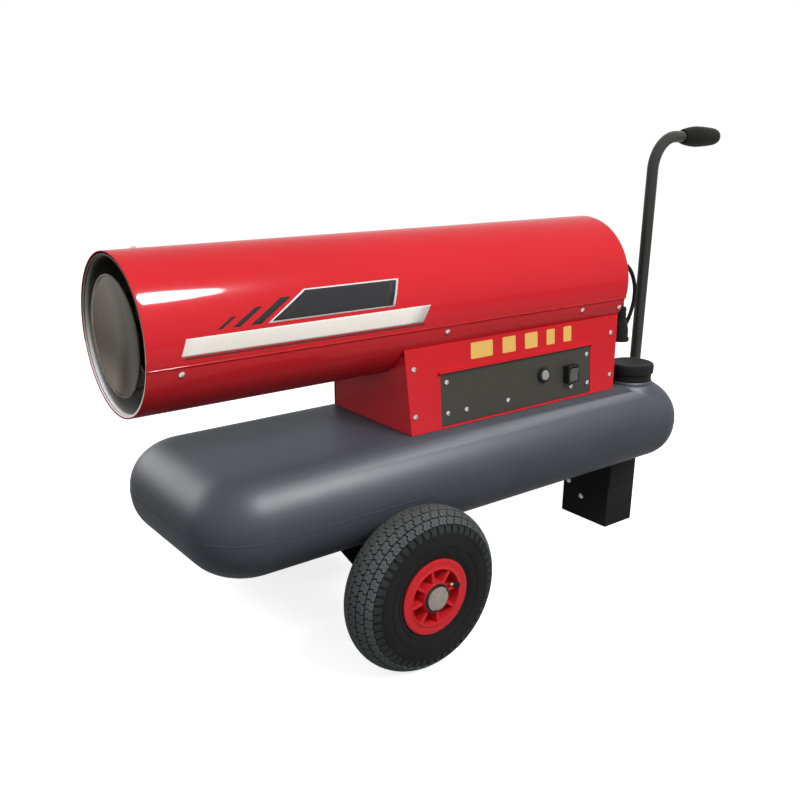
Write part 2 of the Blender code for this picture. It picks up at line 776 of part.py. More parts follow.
def build_flame_disc(axis):
    steel = "bare_steel"
    radii = [DISC_RADIUS * ring / DISC_RINGS for ring in range(DISC_RINGS)]
    front = [(disc_station(radius), radius) for radius in radii]
    rim = [
        (DISC_STATION, DISC_RADIUS - DISC_BEAD), (DISC_STATION - DISC_BEAD / 2, DISC_RADIUS),
        (DISC_STATION + DISC_BEAD / 2, DISC_RADIUS + DISC_BEAD / 4),
        (DISC_STATION + DISC_BEAD, DISC_RADIUS - DISC_BEAD / 4),
    ]
    back = [(station + DISC_SHEET, radius) for station, radius in reversed(front)]
    add("flame_disc", turned(front + rim + back, TURN_STEPS), steel, axis)

    inner = CHAMBER_RADIUS - CHAMBER_WALL - FIT
    start = disc_station(inner - STRAP_STANDOFF) + DISC_SHEET + FIT
    end = CHAMBER_FRONT + STRAP_REACH
    ring = [(end - STRAP_RING, inner), (end, inner), (end, inner - STRAP_SHEET),
            (end - STRAP_RING, inner - STRAP_SHEET)]
    straps = add("flame_disc_straps", turned(ring, TURN_STEPS), steel, axis)
    for index in range(STRAP_COUNT):
        turn = STRAP_TURN + 2 * math.pi * index / STRAP_COUNT
        strap = add("strap_%d" % index,
                    block((start, -STRAP_WIDTH / 2, inner - 2 * STRAP_SHEET),
                          (end - STRAP_RING / 2, STRAP_WIDTH / 2, inner - STRAP_SHEET / 2)),
                    None, axis, (0, 0, 0), (turn, 0, 0))
        boolean(straps, strap, 'UNION')


def build_burner(axis):
    steel = "bare_steel"
    outer = CHAMBER_THROAT - CHAMBER_WALL - FIT
    end = CUP_FRONT + CUP_LENGTH
    profile = [
        (CUP_FRONT, CUP_HOLE), (CUP_FRONT, outer), (end, outer), (end, outer - CUP_WALL),
        (CUP_FRONT + CUP_WALL, outer - CUP_WALL), (CUP_FRONT + CUP_WALL, CUP_HOLE),
    ]
    add("burner_head", turned(profile, ROUND_STEPS), steel, axis)

    holder_front = NOZZLE_FRONT + NOZZLE_TIP_LENGTH
    nozzle = [
        (NOZZLE_FRONT, 0), (NOZZLE_FRONT, NOZZLE_TIP / 2), (NOZZLE_FRONT + NOZZLE_TIP / 2, NOZZLE_TIP),
        (holder_front, NOZZLE_TIP), (holder_front, HOLDER_RADIUS), (HOLDER_REAR, HOLDER_RADIUS),
        (HOLDER_REAR, 0),
    ]
    add("nozzle_holder", turned(nozzle, SMALL_STEPS), "brass", axis)
    spoked_ring("nozzle_spider", HOLDER_RADIUS + FIT, SPIDER_HUB, outer - CUP_WALL - FIT,
                SPIDER_RIM, SPIDER_ARMS, CUP_WALL, steel, axis, CUP_FRONT + SPIDER_SETBACK)

    spread = (HOLDER_RADIUS + FIT + ELECTRODE_RADIUS) * math.sin(math.pi / 4)
    height = spread + RUN
    rod_end = CUP_FRONT + SPIDER_SETBACK - CUP_WALL
    middle = rod_end - ELECTRODE_LENGTH / 2
    bridge = HOLDER_RADIUS + FIT
    pair = add("ignition_electrodes",
               block((middle - ELECTRODE_RADIUS, -spread, bridge),
                     (middle + ELECTRODE_RADIUS, spread, bridge + ELECTRODE_RADIUS)),
               "porcelain", axis)
    for side in (-1, 1):
        rod = add("rod_%d" % side, turned([(0, 0), (0, ELECTRODE_RADIUS),
                                           (ELECTRODE_LENGTH, ELECTRODE_RADIUS),
                                           (ELECTRODE_LENGTH, 0)], SMALL_STEPS),
                  None, axis, (rod_end - ELECTRODE_LENGTH, side * spread, height))
        boolean(pair, rod, 'UNION')


def build_motor(axis):
    bore = SHAFT_RADIUS + RUN
    body_front, body_rear = MOTOR_FRONT + MOTOR_BELL, MOTOR_REAR - MOTOR_BELL - MOTOR_BOSS_LENGTH
    bell_rear = MOTOR_REAR - MOTOR_BOSS_LENGTH
    bell_radius = MOTOR_RADIUS - MOTOR_BAND
    profile = [
        (MOTOR_FRONT, 0), (MOTOR_FRONT, PUMP_FLANGE_RADIUS), (body_front - MOTOR_BELL / 2, bell_radius),
        (body_front, bell_radius), (body_front, MOTOR_RADIUS), (body_rear, MOTOR_RADIUS),
        (body_rear, bell_radius), (bell_rear - MOTOR_BELL / 2, bell_radius),
        (bell_rear, PUMP_FLANGE_RADIUS), (bell_rear, MOTOR_BOSS), (MOTOR_REAR, MOTOR_BOSS_NOSE),
        (MOTOR_REAR, bore), (MOTOR_REAR - SHAFT_BITE - RUN, bore), (MOTOR_REAR - SHAFT_BITE - RUN, 0),
    ]
    add("fan_motor", turned(profile, ROUND_STEPS), "motor_grey", axis)
    spoked_ring("motor_bracket", MOTOR_RADIUS + FIT, BRACKET_RIM, LIP_RADIUS, BRACKET_RIM, BRACKET_ARMS,
                BRACKET_SHEET, "black_steel", axis, MOTOR_FRONT + BRACKET_SETBACK)

    pump_rear = MOTOR_FRONT - FIT
    pump = [
        (PUMP_FRONT - PUMP_NOSE, 0), (PUMP_FRONT - PUMP_NOSE, PUMP_NOSE_RADIUS),
        (PUMP_FRONT, PUMP_NOSE_RADIUS), (PUMP_FRONT, PUMP_RADIUS),
        (pump_rear - PUMP_FLANGE, PUMP_RADIUS), (pump_rear - PUMP_FLANGE, PUMP_FLANGE_RADIUS),
        (pump_rear, PUMP_FLANGE_RADIUS), (pump_rear, 0),
    ]
    add("fuel_pump", turned(pump, MEDIUM_STEPS), "cast_alloy", axis)

    start = PUMP_FRONT - PUMP_NOSE - FIT
    end = HOLDER_REAR + FIT
    middle = (start + end) / 2
    step = (start - end) / FEED_PARTS
    feed = [(start, 0, 0), (start - step, 0, 0), (middle + step / 2, 0, FEED_LOOP),
            (middle - step / 2, 0, FEED_LOOP), (end + step, 0, 0), (end, 0, 0)]
    tube("nozzle_pipe", rounded_route(feed, FEED_BEND), FEED_PIPE_RADIUS, "copper", axis)


def blade(span_steps, chord_steps):
    """One twisted, cambered blade as an open surface, root to tip."""
    bm = bmesh.new()
    rows = []
    for span in range(span_steps + 1):
        share = span / span_steps
        radius = FAN_ROOT_RADIUS + (FAN_RADIUS - FAN_ROOT_RADIUS) * share
        chord = FAN_ROOT_CHORD + (FAN_TIP_CHORD - FAN_ROOT_CHORD) * share
        pitch = FAN_ROOT_PITCH + (FAN_TIP_PITCH - FAN_ROOT_PITCH) * share
        row = []
        for along in range(chord_steps + 1):
            across = (along - chord_steps / 2) / chord_steps
            rise = FAN_CAMBER_SHARE * chord * (1 - (2 * across) ** 2)
            forward = chord * across * math.sin(pitch) + rise * math.cos(pitch)
            turn = (chord * across * math.cos(pitch) - rise * math.sin(pitch)) / radius
            row.append(bm.verts.new((forward, radius * math.sin(turn), radius * math.cos(turn))))
        rows.append(row)
    for lower, upper in zip(rows, rows[1:]):
        for index in range(chord_steps):
            bm.faces.new([lower[index], upper[index], upper[index + 1], lower[index + 1]])
    return bm


def build_fan(axis):
    pivot = empty("fan_axis", (FAN_STATION, 0, 0), axis)
    half = FAN_HUB_LENGTH / 2
    bore = SHAFT_RADIUS + FIT
    hub = add("fan", turned([(-half, bore), (-half, FAN_HUB_RADIUS), (half, FAN_HUB_RADIUS),
                             (half, bore)], FAN_HUB_STEPS), "fan_alloy", pivot)
    for index in range(FAN_BLADES):
        fin = add("blade_%d" % index, blade(FAN_SPAN_STEPS, FAN_CHORD_STEPS), None, pivot)
        fin.rotation_euler = (2 * math.pi * index / FAN_BLADES, 0, 0)
        solidify(fin, FAN_BLADE_SHEET, 0)
        boolean(hub, fin, 'UNION')

    tail = MOTOR_REAR - SHAFT_BITE - FAN_STATION
    add("motor_shaft", turned([(tail, 0), (tail, SHAFT_RADIUS), (tail + SHAFT_LENGTH, SHAFT_RADIUS),
                               (tail + SHAFT_LENGTH, 0)], MEDIUM_STEPS), "bare_steel", pivot)


def guard_station(radius):
    """The guard bulges to the rear, with its rim flat on the jacket's bore."""
    return GUARD_DOME * (1 - (radius / LIP_RADIUS) ** 2)


def guard_radii():
    radii = [GUARD_EYE, GUARD_HUB]
    for ring in range(GUARD_RINGS):
        outer = LIP_RADIUS - RUN - ring * GUARD_RING_PITCH
        radii += [outer, outer - GUARD_WIRE]
    return sorted(radii)


def build_guard(axis):
    wire = "black_steel"
    radii = guard_radii()
    per_bar = GUARD_SECTORS // GUARD_BARS
    bm = polar_plate(radii, GUARD_SECTORS,
                     lambda ring, sector: ring % 2 == 0 or sector % per_bar == per_bar // 2,
                     guard_station)
    guard = add("inlet_guard", bm, wire, axis, (GUARD_STATION, 0, 0))
    solidify(guard, GUARD_WIRE, 0)

    foot = GUARD_STATION + GUARD_DOME + GUARD_WIRE / 2 + FIT
    pad = HOOK_PAD / 2
    hook = add("cord_hook", block((foot, -HOOK_OFFSET - pad, HOOK_RISE - pad),
                                  (foot + HOOK_PAD_SHEET, -HOOK_OFFSET + pad, HOOK_RISE + pad)),
               wire, axis)
    corners = [(foot + HOOK_PAD_SHEET / 2, -HOOK_OFFSET, HOOK_RISE),
               (HOOK_STATION, -HOOK_OFFSET, HOOK_RISE),
               (HOOK_STATION, -HOOK_OFFSET - HOOK_REACH, HOOK_RISE),
               (HOOK_STATION, -HOOK_OFFSET - HOOK_REACH, HOOK_RISE + HOOK_LIP)]
    rod = add("hook_rod", bar(rounded_route(corners, HOOK_BEND), HOOK_RADIUS, SMALL_STEPS), None, axis)
    boolean(hook, rod, 'UNION')


def saddle():
    """Points of the box's hollow top, which follows the tube, from the left to the right."""
    radius = LOWER_RADIUS + SIDE_TOP_GAP
    reach = math.asin(BOX_TOP_HALF_WIDTH / radius)
    points = []
    for step in range(SADDLE_STEPS + 1):
        angle = -reach + 2 * reach * step / SADDLE_STEPS
        points.append((radius * math.sin(angle), TUBE_AXIS_Z - radius * math.cos(angle)))
    return points


def inside_width(z):
    """Half of the clear width between the leaning side panels, at a height."""
    share = (z - BOX_FOOT_Z) / BOX_HEIGHT
    outside = BOX_HALF_WIDTH + (BOX_TOP_HALF_WIDTH - BOX_HALF_WIDTH) * share
    return outside - BOX_SHEET / math.cos(PANEL_LEAN) - FIT


def end_wall(name, station, lean, facing, parent):
    """A leaning end wall with a fold along each side; facing is -1 in front and 1 behind."""
    slope = lean / BOX_HEIGHT

    def at(y, z, inward=0):
        return (station + facing * (slope * (z - BOX_FOOT_Z) - inward), y, z)

    edge = [(y, z) for y, z in saddle() if abs(y) < inside_width(z) - FIT]
    top_z = edge[0][1]
    half, top_half = inside_width(BOX_FOOT_Z), inside_width(top_z)
    bm = bmesh.new()
    arch = [bm.verts.new(at(y, z)) for y, z in edge]
    left = [bm.verts.new(at(-half, BOX_FOOT_Z)), bm.verts.new(at(-top_half, top_z))]
    right = [bm.verts.new(at(half, BOX_FOOT_Z)), bm.verts.new(at(top_half, top_z))]
    bm.faces.new([left[0], left[1], *arch, right[1], right[0]])
    for (low, high), width, top in ((left, -half, -top_half), (right, half, top_half)):
        fold_low = bm.verts.new(at(width, BOX_FOOT_Z, BOX_FLANGE))
        fold_high = bm.verts.new(at(top, top_z, BOX_FLANGE))
        bm.faces.new([low, high, fold_high, fold_low])
    bmesh.ops.recalc_face_normals(bm, faces=bm.faces)
    wall = max(bm.faces, key=lambda face: len(face.verts))
    if wall.normal.x * facing < 0:
        bmesh.ops.reverse_faces(bm, faces=bm.faces)
    piece = add(name, bm, "red_paint", parent)
    solidify(piece, BOX_SHEET)
    return piece


def side_edges(height):
    """Front and rear edges of a side panel at a height above its foot."""
    share = height / PANEL_HEIGHT
    return BOX_FRONT - BOX_FRONT_LEAN * share, BOX_REAR + BOX_REAR_LEAN * share


def side_panel(name, parent, side, has_recess=False):
    """A flat side panel in its own leaning frame; side is -1 where the outside faces -Y."""
    front_foot, rear_foot = side_edges(0)
    front_head, rear_head = side_edges(PANEL_HEIGHT)
    corners = {"a": (front_foot, 0, 0), "b": (rear_foot, 0, 0),
               "c": (rear_head, 0, PANEL_HEIGHT), "d": (front_head, 0, PANEL_HEIGHT)}
    piece = add(name, surface(corners, ["abcd" if side < 0 else "dcba"]), "red_paint", parent)
    solidify(piece, BOX_SHEET)
    if has_recess:
        x0, x1 = BOX_FRONT + RECESS_FRONT, BOX_REAR - RECESS_REAR
        z0, z1 = RECESS_FOOT, RECESS_FOOT + RECESS_HEIGHT
        wall = BOX_SHEET
        tray = add("recess_tray", block((x0 - wall, wall / 2, z0 - wall),
                                        (x1 + wall, RECESS_DEPTH + wall, z1 + wall)), None, parent)
        hood = add("recess_hood", block((x0 - HOOD_DEPTH, -HOOD_DEPTH, z1 + FIT),
                                        (x1 + HOOD_DEPTH, wall / 2, z1 + HOOD_THICKNESS)), None, parent)
        pocket = add("recess_pocket", block((x0, -HOOD_DEPTH, z0), (x1, RECESS_DEPTH, z1)),
                     None, parent)
        boolean(piece, tray, 'UNION')
        boolean(piece, pocket, 'DIFFERENCE')
        boolean(piece, hood, 'UNION')
    return piece


def build_box(frame):
    end_wall("box_front_wall", BOX_FRONT + BOX_SHEET, BOX_FRONT_LEAN, -1, frame)
    end_wall("box_rear_wall", BOX_REAR - BOX_SHEET, BOX_REAR_LEAN, 1, frame)
    left = empty("left_panel_frame", (0, -BOX_HALF_WIDTH, BOX_FOOT_Z), frame, (-PANEL_LEAN, 0, 0))
    side_panel("side_panel_left", left, -1, True)
    right = empty("right_panel_frame", (0, BOX_HALF_WIDTH, BOX_FOOT_Z), frame, (PANEL_LEAN, 0, 0))
    side_panel("side_panel_right", right, 1)

    return left


def build_controls(panel):
    """Everything on the control plate, in the frame of the leaning left panel."""
    plastic = "black_plastic"
    x0 = BOX_FRONT + RECESS_FRONT
    z0 = RECESS_FOOT
    length = BOX_REAR - RECESS_REAR - x0
    back = RECESS_DEPTH - FIT
    face = back - PLATE_THICKNESS
    margin = PLATE_MARGIN
    add("control_plate", block((x0 + margin, face, z0 + margin),
                               (x0 + length - margin, back, z0 + RECESS_HEIGHT - margin)),
        "control_grey", panel)

    front = face - FIT
    sx, sz = x0 + SWITCH_FRONT, z0 + SWITCH_FOOT
    housing = add("switch_housing", block((sx, front - SWITCH_DEPTH, sz),
                                          (sx + SWITCH_LENGTH, front, sz + SWITCH_HEIGHT)),
                  plastic, panel)
    wall = SWITCH_WALL
    pocket = add("switch_pocket",
                 block((sx + wall, front - SWITCH_DEPTH - OVERRUN, sz + wall),
                       (sx + SWITCH_LENGTH - wall, front - wall, sz + SWITCH_HEIGHT - wall)),
                 None, panel)
    boolean(housing, pocket, 'DIFFERENCE')

    gap = wall + ROCKER_CLEARANCE
    half = SWITCH_HEIGHT / 2 - gap
    pivot_y = front - SWITCH_DEPTH + ROCKER_THICKNESS / 2
    pivot = empty("rocker_pivot", (sx + SWITCH_LENGTH / 2, pivot_y, sz + SWITCH_HEIGHT / 2), panel)
    width = SWITCH_LENGTH / 2 - gap
    rise = half * math.tan(ROCKER_TILT)
    heel = half - ROCKER_HEEL
    depth = ROCKER_THICKNESS
    rocker_outline = [(-width, -depth / 2 - rise, -half), (-width, -depth / 2, 0),
                      (-width, -depth / 2 - rise, half), (-width, depth / 2, heel),
                      (-width, depth, 0), (-width, depth / 2, -heel)]
    rocker = add("switch_rocker", extruded(rocker_outline, 2 * width, "X"), plastic, pivot)
    rocker.rotation_euler = (ROCKER_TILT, 0, 0)

    bx, bz = x0 + RESET_STATION, z0 + RESET_FOOT
    cup = BUTTON_RADIUS + RUN
    bezel = [(0, 0), (0, BEZEL_RADIUS), (BEZEL_CHAMFER - BEZEL_HEIGHT, BEZEL_RADIUS),
             (-BEZEL_HEIGHT, BEZEL_LIP_RADIUS), (-BEZEL_HEIGHT, cup), (-BEZEL_FLOOR, cup),
             (-BEZEL_FLOOR, 0)]
    add("reset_bezel", turned(bezel, ROUND_STEPS, "Y"), plastic, panel, (bx, front, bz))
    back = -BEZEL_FLOOR - BUTTON_TRAVEL
    nose = -BEZEL_HEIGHT - BUTTON_PROUD
    button = [(back, 0), (back, BUTTON_RADIUS), (nose + BUTTON_EDGE, BUTTON_RADIUS),
              (nose, BUTTON_NOSE_RADIUS), (nose - BUTTON_DOME, 0)]
    add("reset_button", turned(button, ROUND_STEPS, "Y"), "clear_cap", panel, (bx, front, bz))


def build_box_contents(frame, axis):
    floor = BOX_FOOT_Z
    for name, size, station, surface_name in (
            ("burner_controller", CONTROLLER_SIZE, FILTER_STATION - CONTROLLER_AHEAD,
             "controller_blue"),
            ("ignition_transformer", TRANSFORMER_SIZE, FILTER_STATION + TRANSFORMER_BEHIND,
             "transformer_black")):
        length, width, height = size
        piece = add(name, block((station - length / 2, -width / 2, floor),
                                (station + length / 2, width / 2, floor + height)),
                    surface_name, frame)
        bevel(piece, INNER_BEVEL, INNER_BEVEL_STEPS)

    filter_top = floor + FILTER_HEIGHT
    body = [(floor, 0), (floor, FILTER_NECK), (floor + FILTER_NECK, FILTER_RADIUS),
            (filter_top - FILTER_NECK, FILTER_RADIUS), (filter_top, FILTER_NECK), (filter_top, 0)]
    add("fuel_filter", turned(body, MEDIUM_STEPS, "Z"), "filter_bowl", frame, (FILTER_STATION, 0, 0))
    top = TUBE_AXIS_Z - PUMP_RADIUS - FIT - RUN
    tube("suction_pipe", [(FILTER_STATION, 0, filter_top + FIT),
                          (FILTER_STATION, 0, (filter_top + top) / 2), (FILTER_STATION, 0, top)],
         SUCTION_PIPE_RADIUS, "copper", frame)


def tank_ring(bm, inset, level):
    """One closed ring of the tank's plan, drawn in by inset, at a height."""
    verts = []
    half = TANK_HALF_WIDTH - inset
    for end, reach_x, reach_y in ((1, TANK_REAR_CROWN, TANK_REAR_CORNER),
                                  (-1, TANK_FRONT_CORNER, TANK_FRONT_CORNER)):
        station = (TANK_REAR - inset) if end > 0 else (TANK_FRONT + inset)
        ax, ay = reach_x - inset, reach_y - inset
        for side in (1, -1):
            for step in range(TANK_CORNER_STEPS + 1):
                share = step / TANK_CORNER_STEPS
                angle = (1 - share if side > 0 else share) * math.pi / 2
                x = station - end * ax * (1 - math.cos(angle))
                y = side * (half - ay + ay * math.sin(angle))
                verts.append((x, y * end, level))
    return [bm.verts.new(point) for point in verts]


def tank_shell(inset, steps):
    """The tank's rounded body, or its hollow when inset by the wall."""
    bm = bmesh.new()
    edge = TANK_EDGE - inset
    straight = TANK_HEIGHT / 2 - TANK_EDGE
    rings = []
    for side, reach in ((-1, edge), (1, TANK_SHOULDER - inset)):
        for step in range(steps + 1):
            angle = math.pi / 2 * (step / steps if side > 0 else step / steps - 1)
            rings.append(tank_ring(bm, inset + reach * (1 - math.cos(angle)),
                                   TANK_MID + side * straight + edge * math.sin(angle)))
    for low, high in zip(rings, rings[1:]):
        for index in range(len(low)):
            after = (index + 1) % len(low)
            bm.faces.new([low[index], low[after], high[after], high[index]])
    bm.faces.new(list(reversed(rings[0])))
    bm.faces.new(rings[-1])
    bmesh.ops.recalc_face_normals(bm, faces=bm.faces)
    return bm


def build_tank(frame):
    tank = add("fuel_tank", tank_shell(0, TANK_EDGE_STEPS), "tank_plastic", frame)
    place = (CAP_STATION, -CAP_OFFSET, 0)
    root, deck = TANK_TOP - TANK_EDGE / 2, TANK_TOP + NECK_BOSS
    foot_radius = NECK_RADIUS + NECK_FLANGE
    boss = add("boss", turned([(root, 0), (root, foot_radius), (deck, foot_radius), (deck, 0)],
                              CAP_STEPS, "Z"), None, frame, place)
    boolean(tank, boss, 'UNION')
    lug = add("lug", block((LUG_FRONT, -LUG_HALF_WIDTH, LUG_FOOT),
                           (LUG_REAR, LUG_HALF_WIDTH, TANK_FOOT + LUG_BITE)), None, frame)
    boolean(tank, lug, 'UNION')
    slim = LUG_HALF_WIDTH - FOOT_PLATE - FIT
    tongue = add("tongue", block((LUG_FRONT, -slim, TONGUE_FOOT),
                                 (LUG_REAR - FOOT_PLATE, slim, LUG_FOOT + FOOT_PLATE)), None, frame)
    boolean(tank, tongue, 'UNION')
    boolean(tank, add("hollow", tank_shell(TANK_WALL, TANK_EDGE_STEPS - 2), None, frame), 'DIFFERENCE')
    bore = add("filler_bore", turned([(root, 0), (root, NECK_BORE), (deck + OVERRUN, NECK_BORE),
                                      (deck + OVERRUN, 0)], MEDIUM_STEPS, "Z"), None, frame, place)
    boolean(tank, bore, 'DIFFERENCE')

    foot = deck + FIT
    neck = [(foot, NECK_BORE), (foot, foot_radius), (foot + NECK_FLANGE, foot_radius)]
    for step in range(NECK_FILLET_STEPS + 1):
        angle = math.pi / 2 * step / NECK_FILLET_STEPS
        neck.append((foot + NECK_FLANGE + NECK_FILLET * math.sin(angle),
                     NECK_RADIUS + NECK_FILLET * (1 - math.sin(angle))))
    neck += [(NECK_TOP, NECK_RADIUS), (NECK_TOP, NECK_BORE)]
    add("filler_neck", turned(neck, ROUND_STEPS, "Z"), "tank_plastic", frame, place)

    seal_foot = NECK_TOP + FIT
    add("cap_seal", turned([(seal_foot, 0), (seal_foot, SEAL_RADIUS),
                            (seal_foot + SEAL_THICKNESS, SEAL_RADIUS),
                            (seal_foot + SEAL_THICKNESS, 0)], CAP_STEPS, "Z"),
        "seal_rubber", frame, place)
    skirt = CAP_TOP - CAP_HEIGHT
    inner = NECK_RADIUS + RUN
    roof = CAP_TOP - CAP_WALL
    cap = [(CAP_TOP, 0), (CAP_TOP, CAP_RADIUS - CAP_EDGE), (CAP_TOP - CAP_EDGE, CAP_RADIUS),
           (skirt, CAP_RADIUS), (skirt, inner), (roof, inner), (roof, 0)]
    add("filler_cap", turned(cap, CAP_STEPS, "Z"), "black_plastic", frame, place)


def tyre_profile():
    """Half section of the tyre, bead to crown, mirrored to a closed ring."""
    bead = RIM_HALF_WIDTH - RIM_FLANGE - FIT
    height = WHEEL_RADIUS - RIM_SEAT
    outer = [(bead, RIM_SEAT + FIT), (bead, RIM_RADIUS + FIT),
             (bead + RIM_FLANGE + FIT, RIM_RADIUS + RIM_TAPER)]
    for width_share, height_share in TYRE_SECTION_SHARES:
        outer.append((TYRE_HALF_WIDTH * width_share, RIM_SEAT + height * height_share))
    mirrored = [(-along, radius) for along, radius in reversed(outer[:-1])]
    return outer + mirrored


def rim_angles(radius):
    """Edges of the spokes, and steps across the windows, for one ring of the rim."""
    pitch = 2 * math.pi / SPOKE_COUNT
    half = math.asin(SPOKE_WIDTH / 2 / radius)
    angles = []
    for spoke in range(SPOKE_COUNT):
        middle = SPOKE_TURN + spoke * pitch
        angles.append(middle - half)
        for step in range(WINDOW_STEPS):
            angles.append(middle + half + (pitch - 2 * half) * step / WINDOW_STEPS)
    return angles


def rim_mesh():
    """Barrel, straight spokes and hub of a moulded rim, as one closed mesh."""
    half, flange = RIM_HALF_WIDTH, RIM_HALF_WIDTH - RIM_FLANGE
    front, back = SPOKE_SETBACK - half, SPOKE_SETBACK - half + SPOKE_DEPTH
    hub = HUB_HALF_LENGTH
    bm = bmesh.new()

    def ring(along, radius, lead):
        return [bm.verts.new((radius * math.cos(angle), along, radius * math.sin(angle)))
                for angle in rim_angles(lead)]

    hub_rings = [ring(along, radius, HUB_RADIUS) for along, radius in (
        (back, HUB_RADIUS), (hub, HUB_RADIUS), (hub, HUB_BORE), (-hub, HUB_BORE),
        (-hub, HUB_RADIUS), (front, HUB_RADIUS))]
    rim_rings = [ring(along, radius, RIM_BORE) for along, radius in (
        (front, RIM_BORE), (-half, RIM_BORE), (-half, RIM_RADIUS), (-flange, RIM_RADIUS),
        (-flange, RIM_SEAT), (flange, RIM_SEAT), (flange, RIM_RADIUS), (half, RIM_RADIUS),
        (half, RIM_BORE), (back, RIM_BORE))]
    count = len(hub_rings[0])
    for rings in (hub_rings, rim_rings):
        for near, far in zip(rings, rings[1:]):
            for index in range(count):
                after = (index + 1) % count
                bm.faces.new([near[index], near[after], far[after], far[index]])
    hub_back, hub_front = hub_rings[0], hub_rings[-1]
    rim_front, rim_back = rim_rings[0], rim_rings[-1]
    for index in range(count):
        after = (index + 1) % count
        if index % (WINDOW_STEPS + 1) == 0:
            bm.faces.new([hub_front[index], hub_front[after], rim_front[after], rim_front[index]])
            bm.faces.new([hub_back[index], hub_back[after], rim_back[after], rim_back[index]])
            for edge in (index, after):
                bm.faces.new([hub_front[edge], rim_front[edge], rim_back[edge], hub_back[edge]])
        else:
            bm.faces.new([hub_front[index], hub_front[after], hub_back[after], hub_back[index]])
            bm.faces.new([rim_front[index], rim_front[after], rim_back[after], rim_back[index]])
    bmesh.ops.recalc_face_normals(bm, faces=bm.faces)
    return bm


def hubcap_profile():
    base = -HUB_HALF_LENGTH - RUN
    bore = AXLE_RADIUS + FIT
    dome = []
    for step in range(HUBCAP_STEPS):
        angle = math.pi / 2 * step / HUBCAP_STEPS
        dome.append((base - HUBCAP_RISE * math.sin(angle), HUBCAP_RADIUS * math.cos(angle)))
    return ([(base - HUBCAP_BITE, 0), (base - HUBCAP_BITE, bore), (base, bore)] + dome
            + [(base - HUBCAP_RISE, 0)])


def build_wheel(side, spin, frame):
    """One wheel; side is 'left' or 'right' and spin turns its outer face outwards."""
    sign = -1 if side == "left" else 1
    pivot = empty("wheel_%s" % side, (WHEEL_STATION, sign * WHEEL_OFFSET, WHEEL_RADIUS), frame,
                  (0, 0, spin))
    add("tyre_%s" % side, turned(tyre_profile(), TYRE_STEPS, "Y"),
        "tyre_rubber", pivot)
    add("rim_%s" % side, rim_mesh(), "rim_red", pivot)
    add("hubcap_%s" % side, turned(hubcap_profile(), ROUND_STEPS, "Y"), "bare_steel", pivot)

    stem = [(0, 0), (0, VALVE_RADIUS), (VALVE_BODY, VALVE_RADIUS), (VALVE_BODY, VALVE_TIP_RADIUS),
            (VALVE_LENGTH, VALVE_TIP_RADIUS), (VALVE_LENGTH, 0)]
    add("valve_%s" % side, turned(stem, SMALL_STEPS), "valve_rubber", pivot,
        VALVE_PLACE, (0, VALVE_LEAN - math.pi, 0))
    return pivot


def build_axle(frame):
    reach = WHEEL_OFFSET + HUB_HALF_LENGTH + RUN + HUBCAP_BITE - FIT
    add("axle", turned([(-reach, 0), (-reach, AXLE_RADIUS), (reach, AXLE_RADIUS), (reach, 0)],
                       ROUND_STEPS, "Y"), "zinc_steel", frame, (WHEEL_STATION, 0, WHEEL_RADIUS))

    bore = AXLE_RADIUS + FIT
    reach = WHEEL_OFFSET - HUB_HALF_LENGTH - RUN
    add("axle_tube", turned([(-reach, bore), (-reach, bore + SPACER_WALL),
                             (reach, bore + SPACER_WALL), (reach, bore)], ROUND_STEPS, "Y"),
        "black_steel", frame, (WHEEL_STATION, 0, WHEEL_RADIUS))

    bore += SPACER_WALL + FIT
    top = TANK_FOOT - FIT
    rise = top - WHEEL_RADIUS
    distance = math.hypot(BRACKET_TOP_HALF, rise)
    lean = math.atan2(rise, BRACKET_TOP_HALF)
    tangent = lean - math.acos(BRACKET_NOSE / distance)
    for side, name in ((-1, "left"), (1, "right")):
        y = side * BRACKET_OFFSET
        outer = side * (BRACKET_OFFSET + BRACKET_PLATE)
        first, last = tangent, -math.pi - tangent
        nose = []
        for step in range(BRACKET_NOSE_STEPS + 1):
            angle = first + (last - first) * step / BRACKET_NOSE_STEPS
            nose.append((BRACKET_NOSE * math.cos(angle), y, WHEEL_RADIUS + BRACKET_NOSE * math.sin(angle)))
        outline = [(BRACKET_TOP_HALF, y, top)] + nose + [(-BRACKET_TOP_HALF, y, top)]
        plate = add("axle_bracket_%s" % name, extruded(outline, outer - y, "Y"), "black_steel", frame,
                    (WHEEL_STATION, 0, 0))
        shelf = add("bracket_shelf_%s" % name,
                    block((-BRACKET_TOP_HALF, min(y, y - side * BRACKET_SHELF), top - BRACKET_PLATE),
                          (BRACKET_TOP_HALF, max(y, y - side * BRACKET_SHELF) , top)), None, frame,
                    (WHEEL_STATION, side * BRACKET_PLATE / 2, 0))
        boolean(plate, shelf, 'UNION')
        hole = add("axle_hole_%s" % name,
                   turned([(-OVERRUN, 0), (-OVERRUN, bore), (BRACKET_PLATE + OVERRUN, bore),
                           (BRACKET_PLATE + OVERRUN, 0)], ROUND_STEPS, "Y"), None, frame,
                   (WHEEL_STATION, min(y, outer), WHEEL_RADIUS))
        boolean(plate, hole, 'DIFFERENCE')


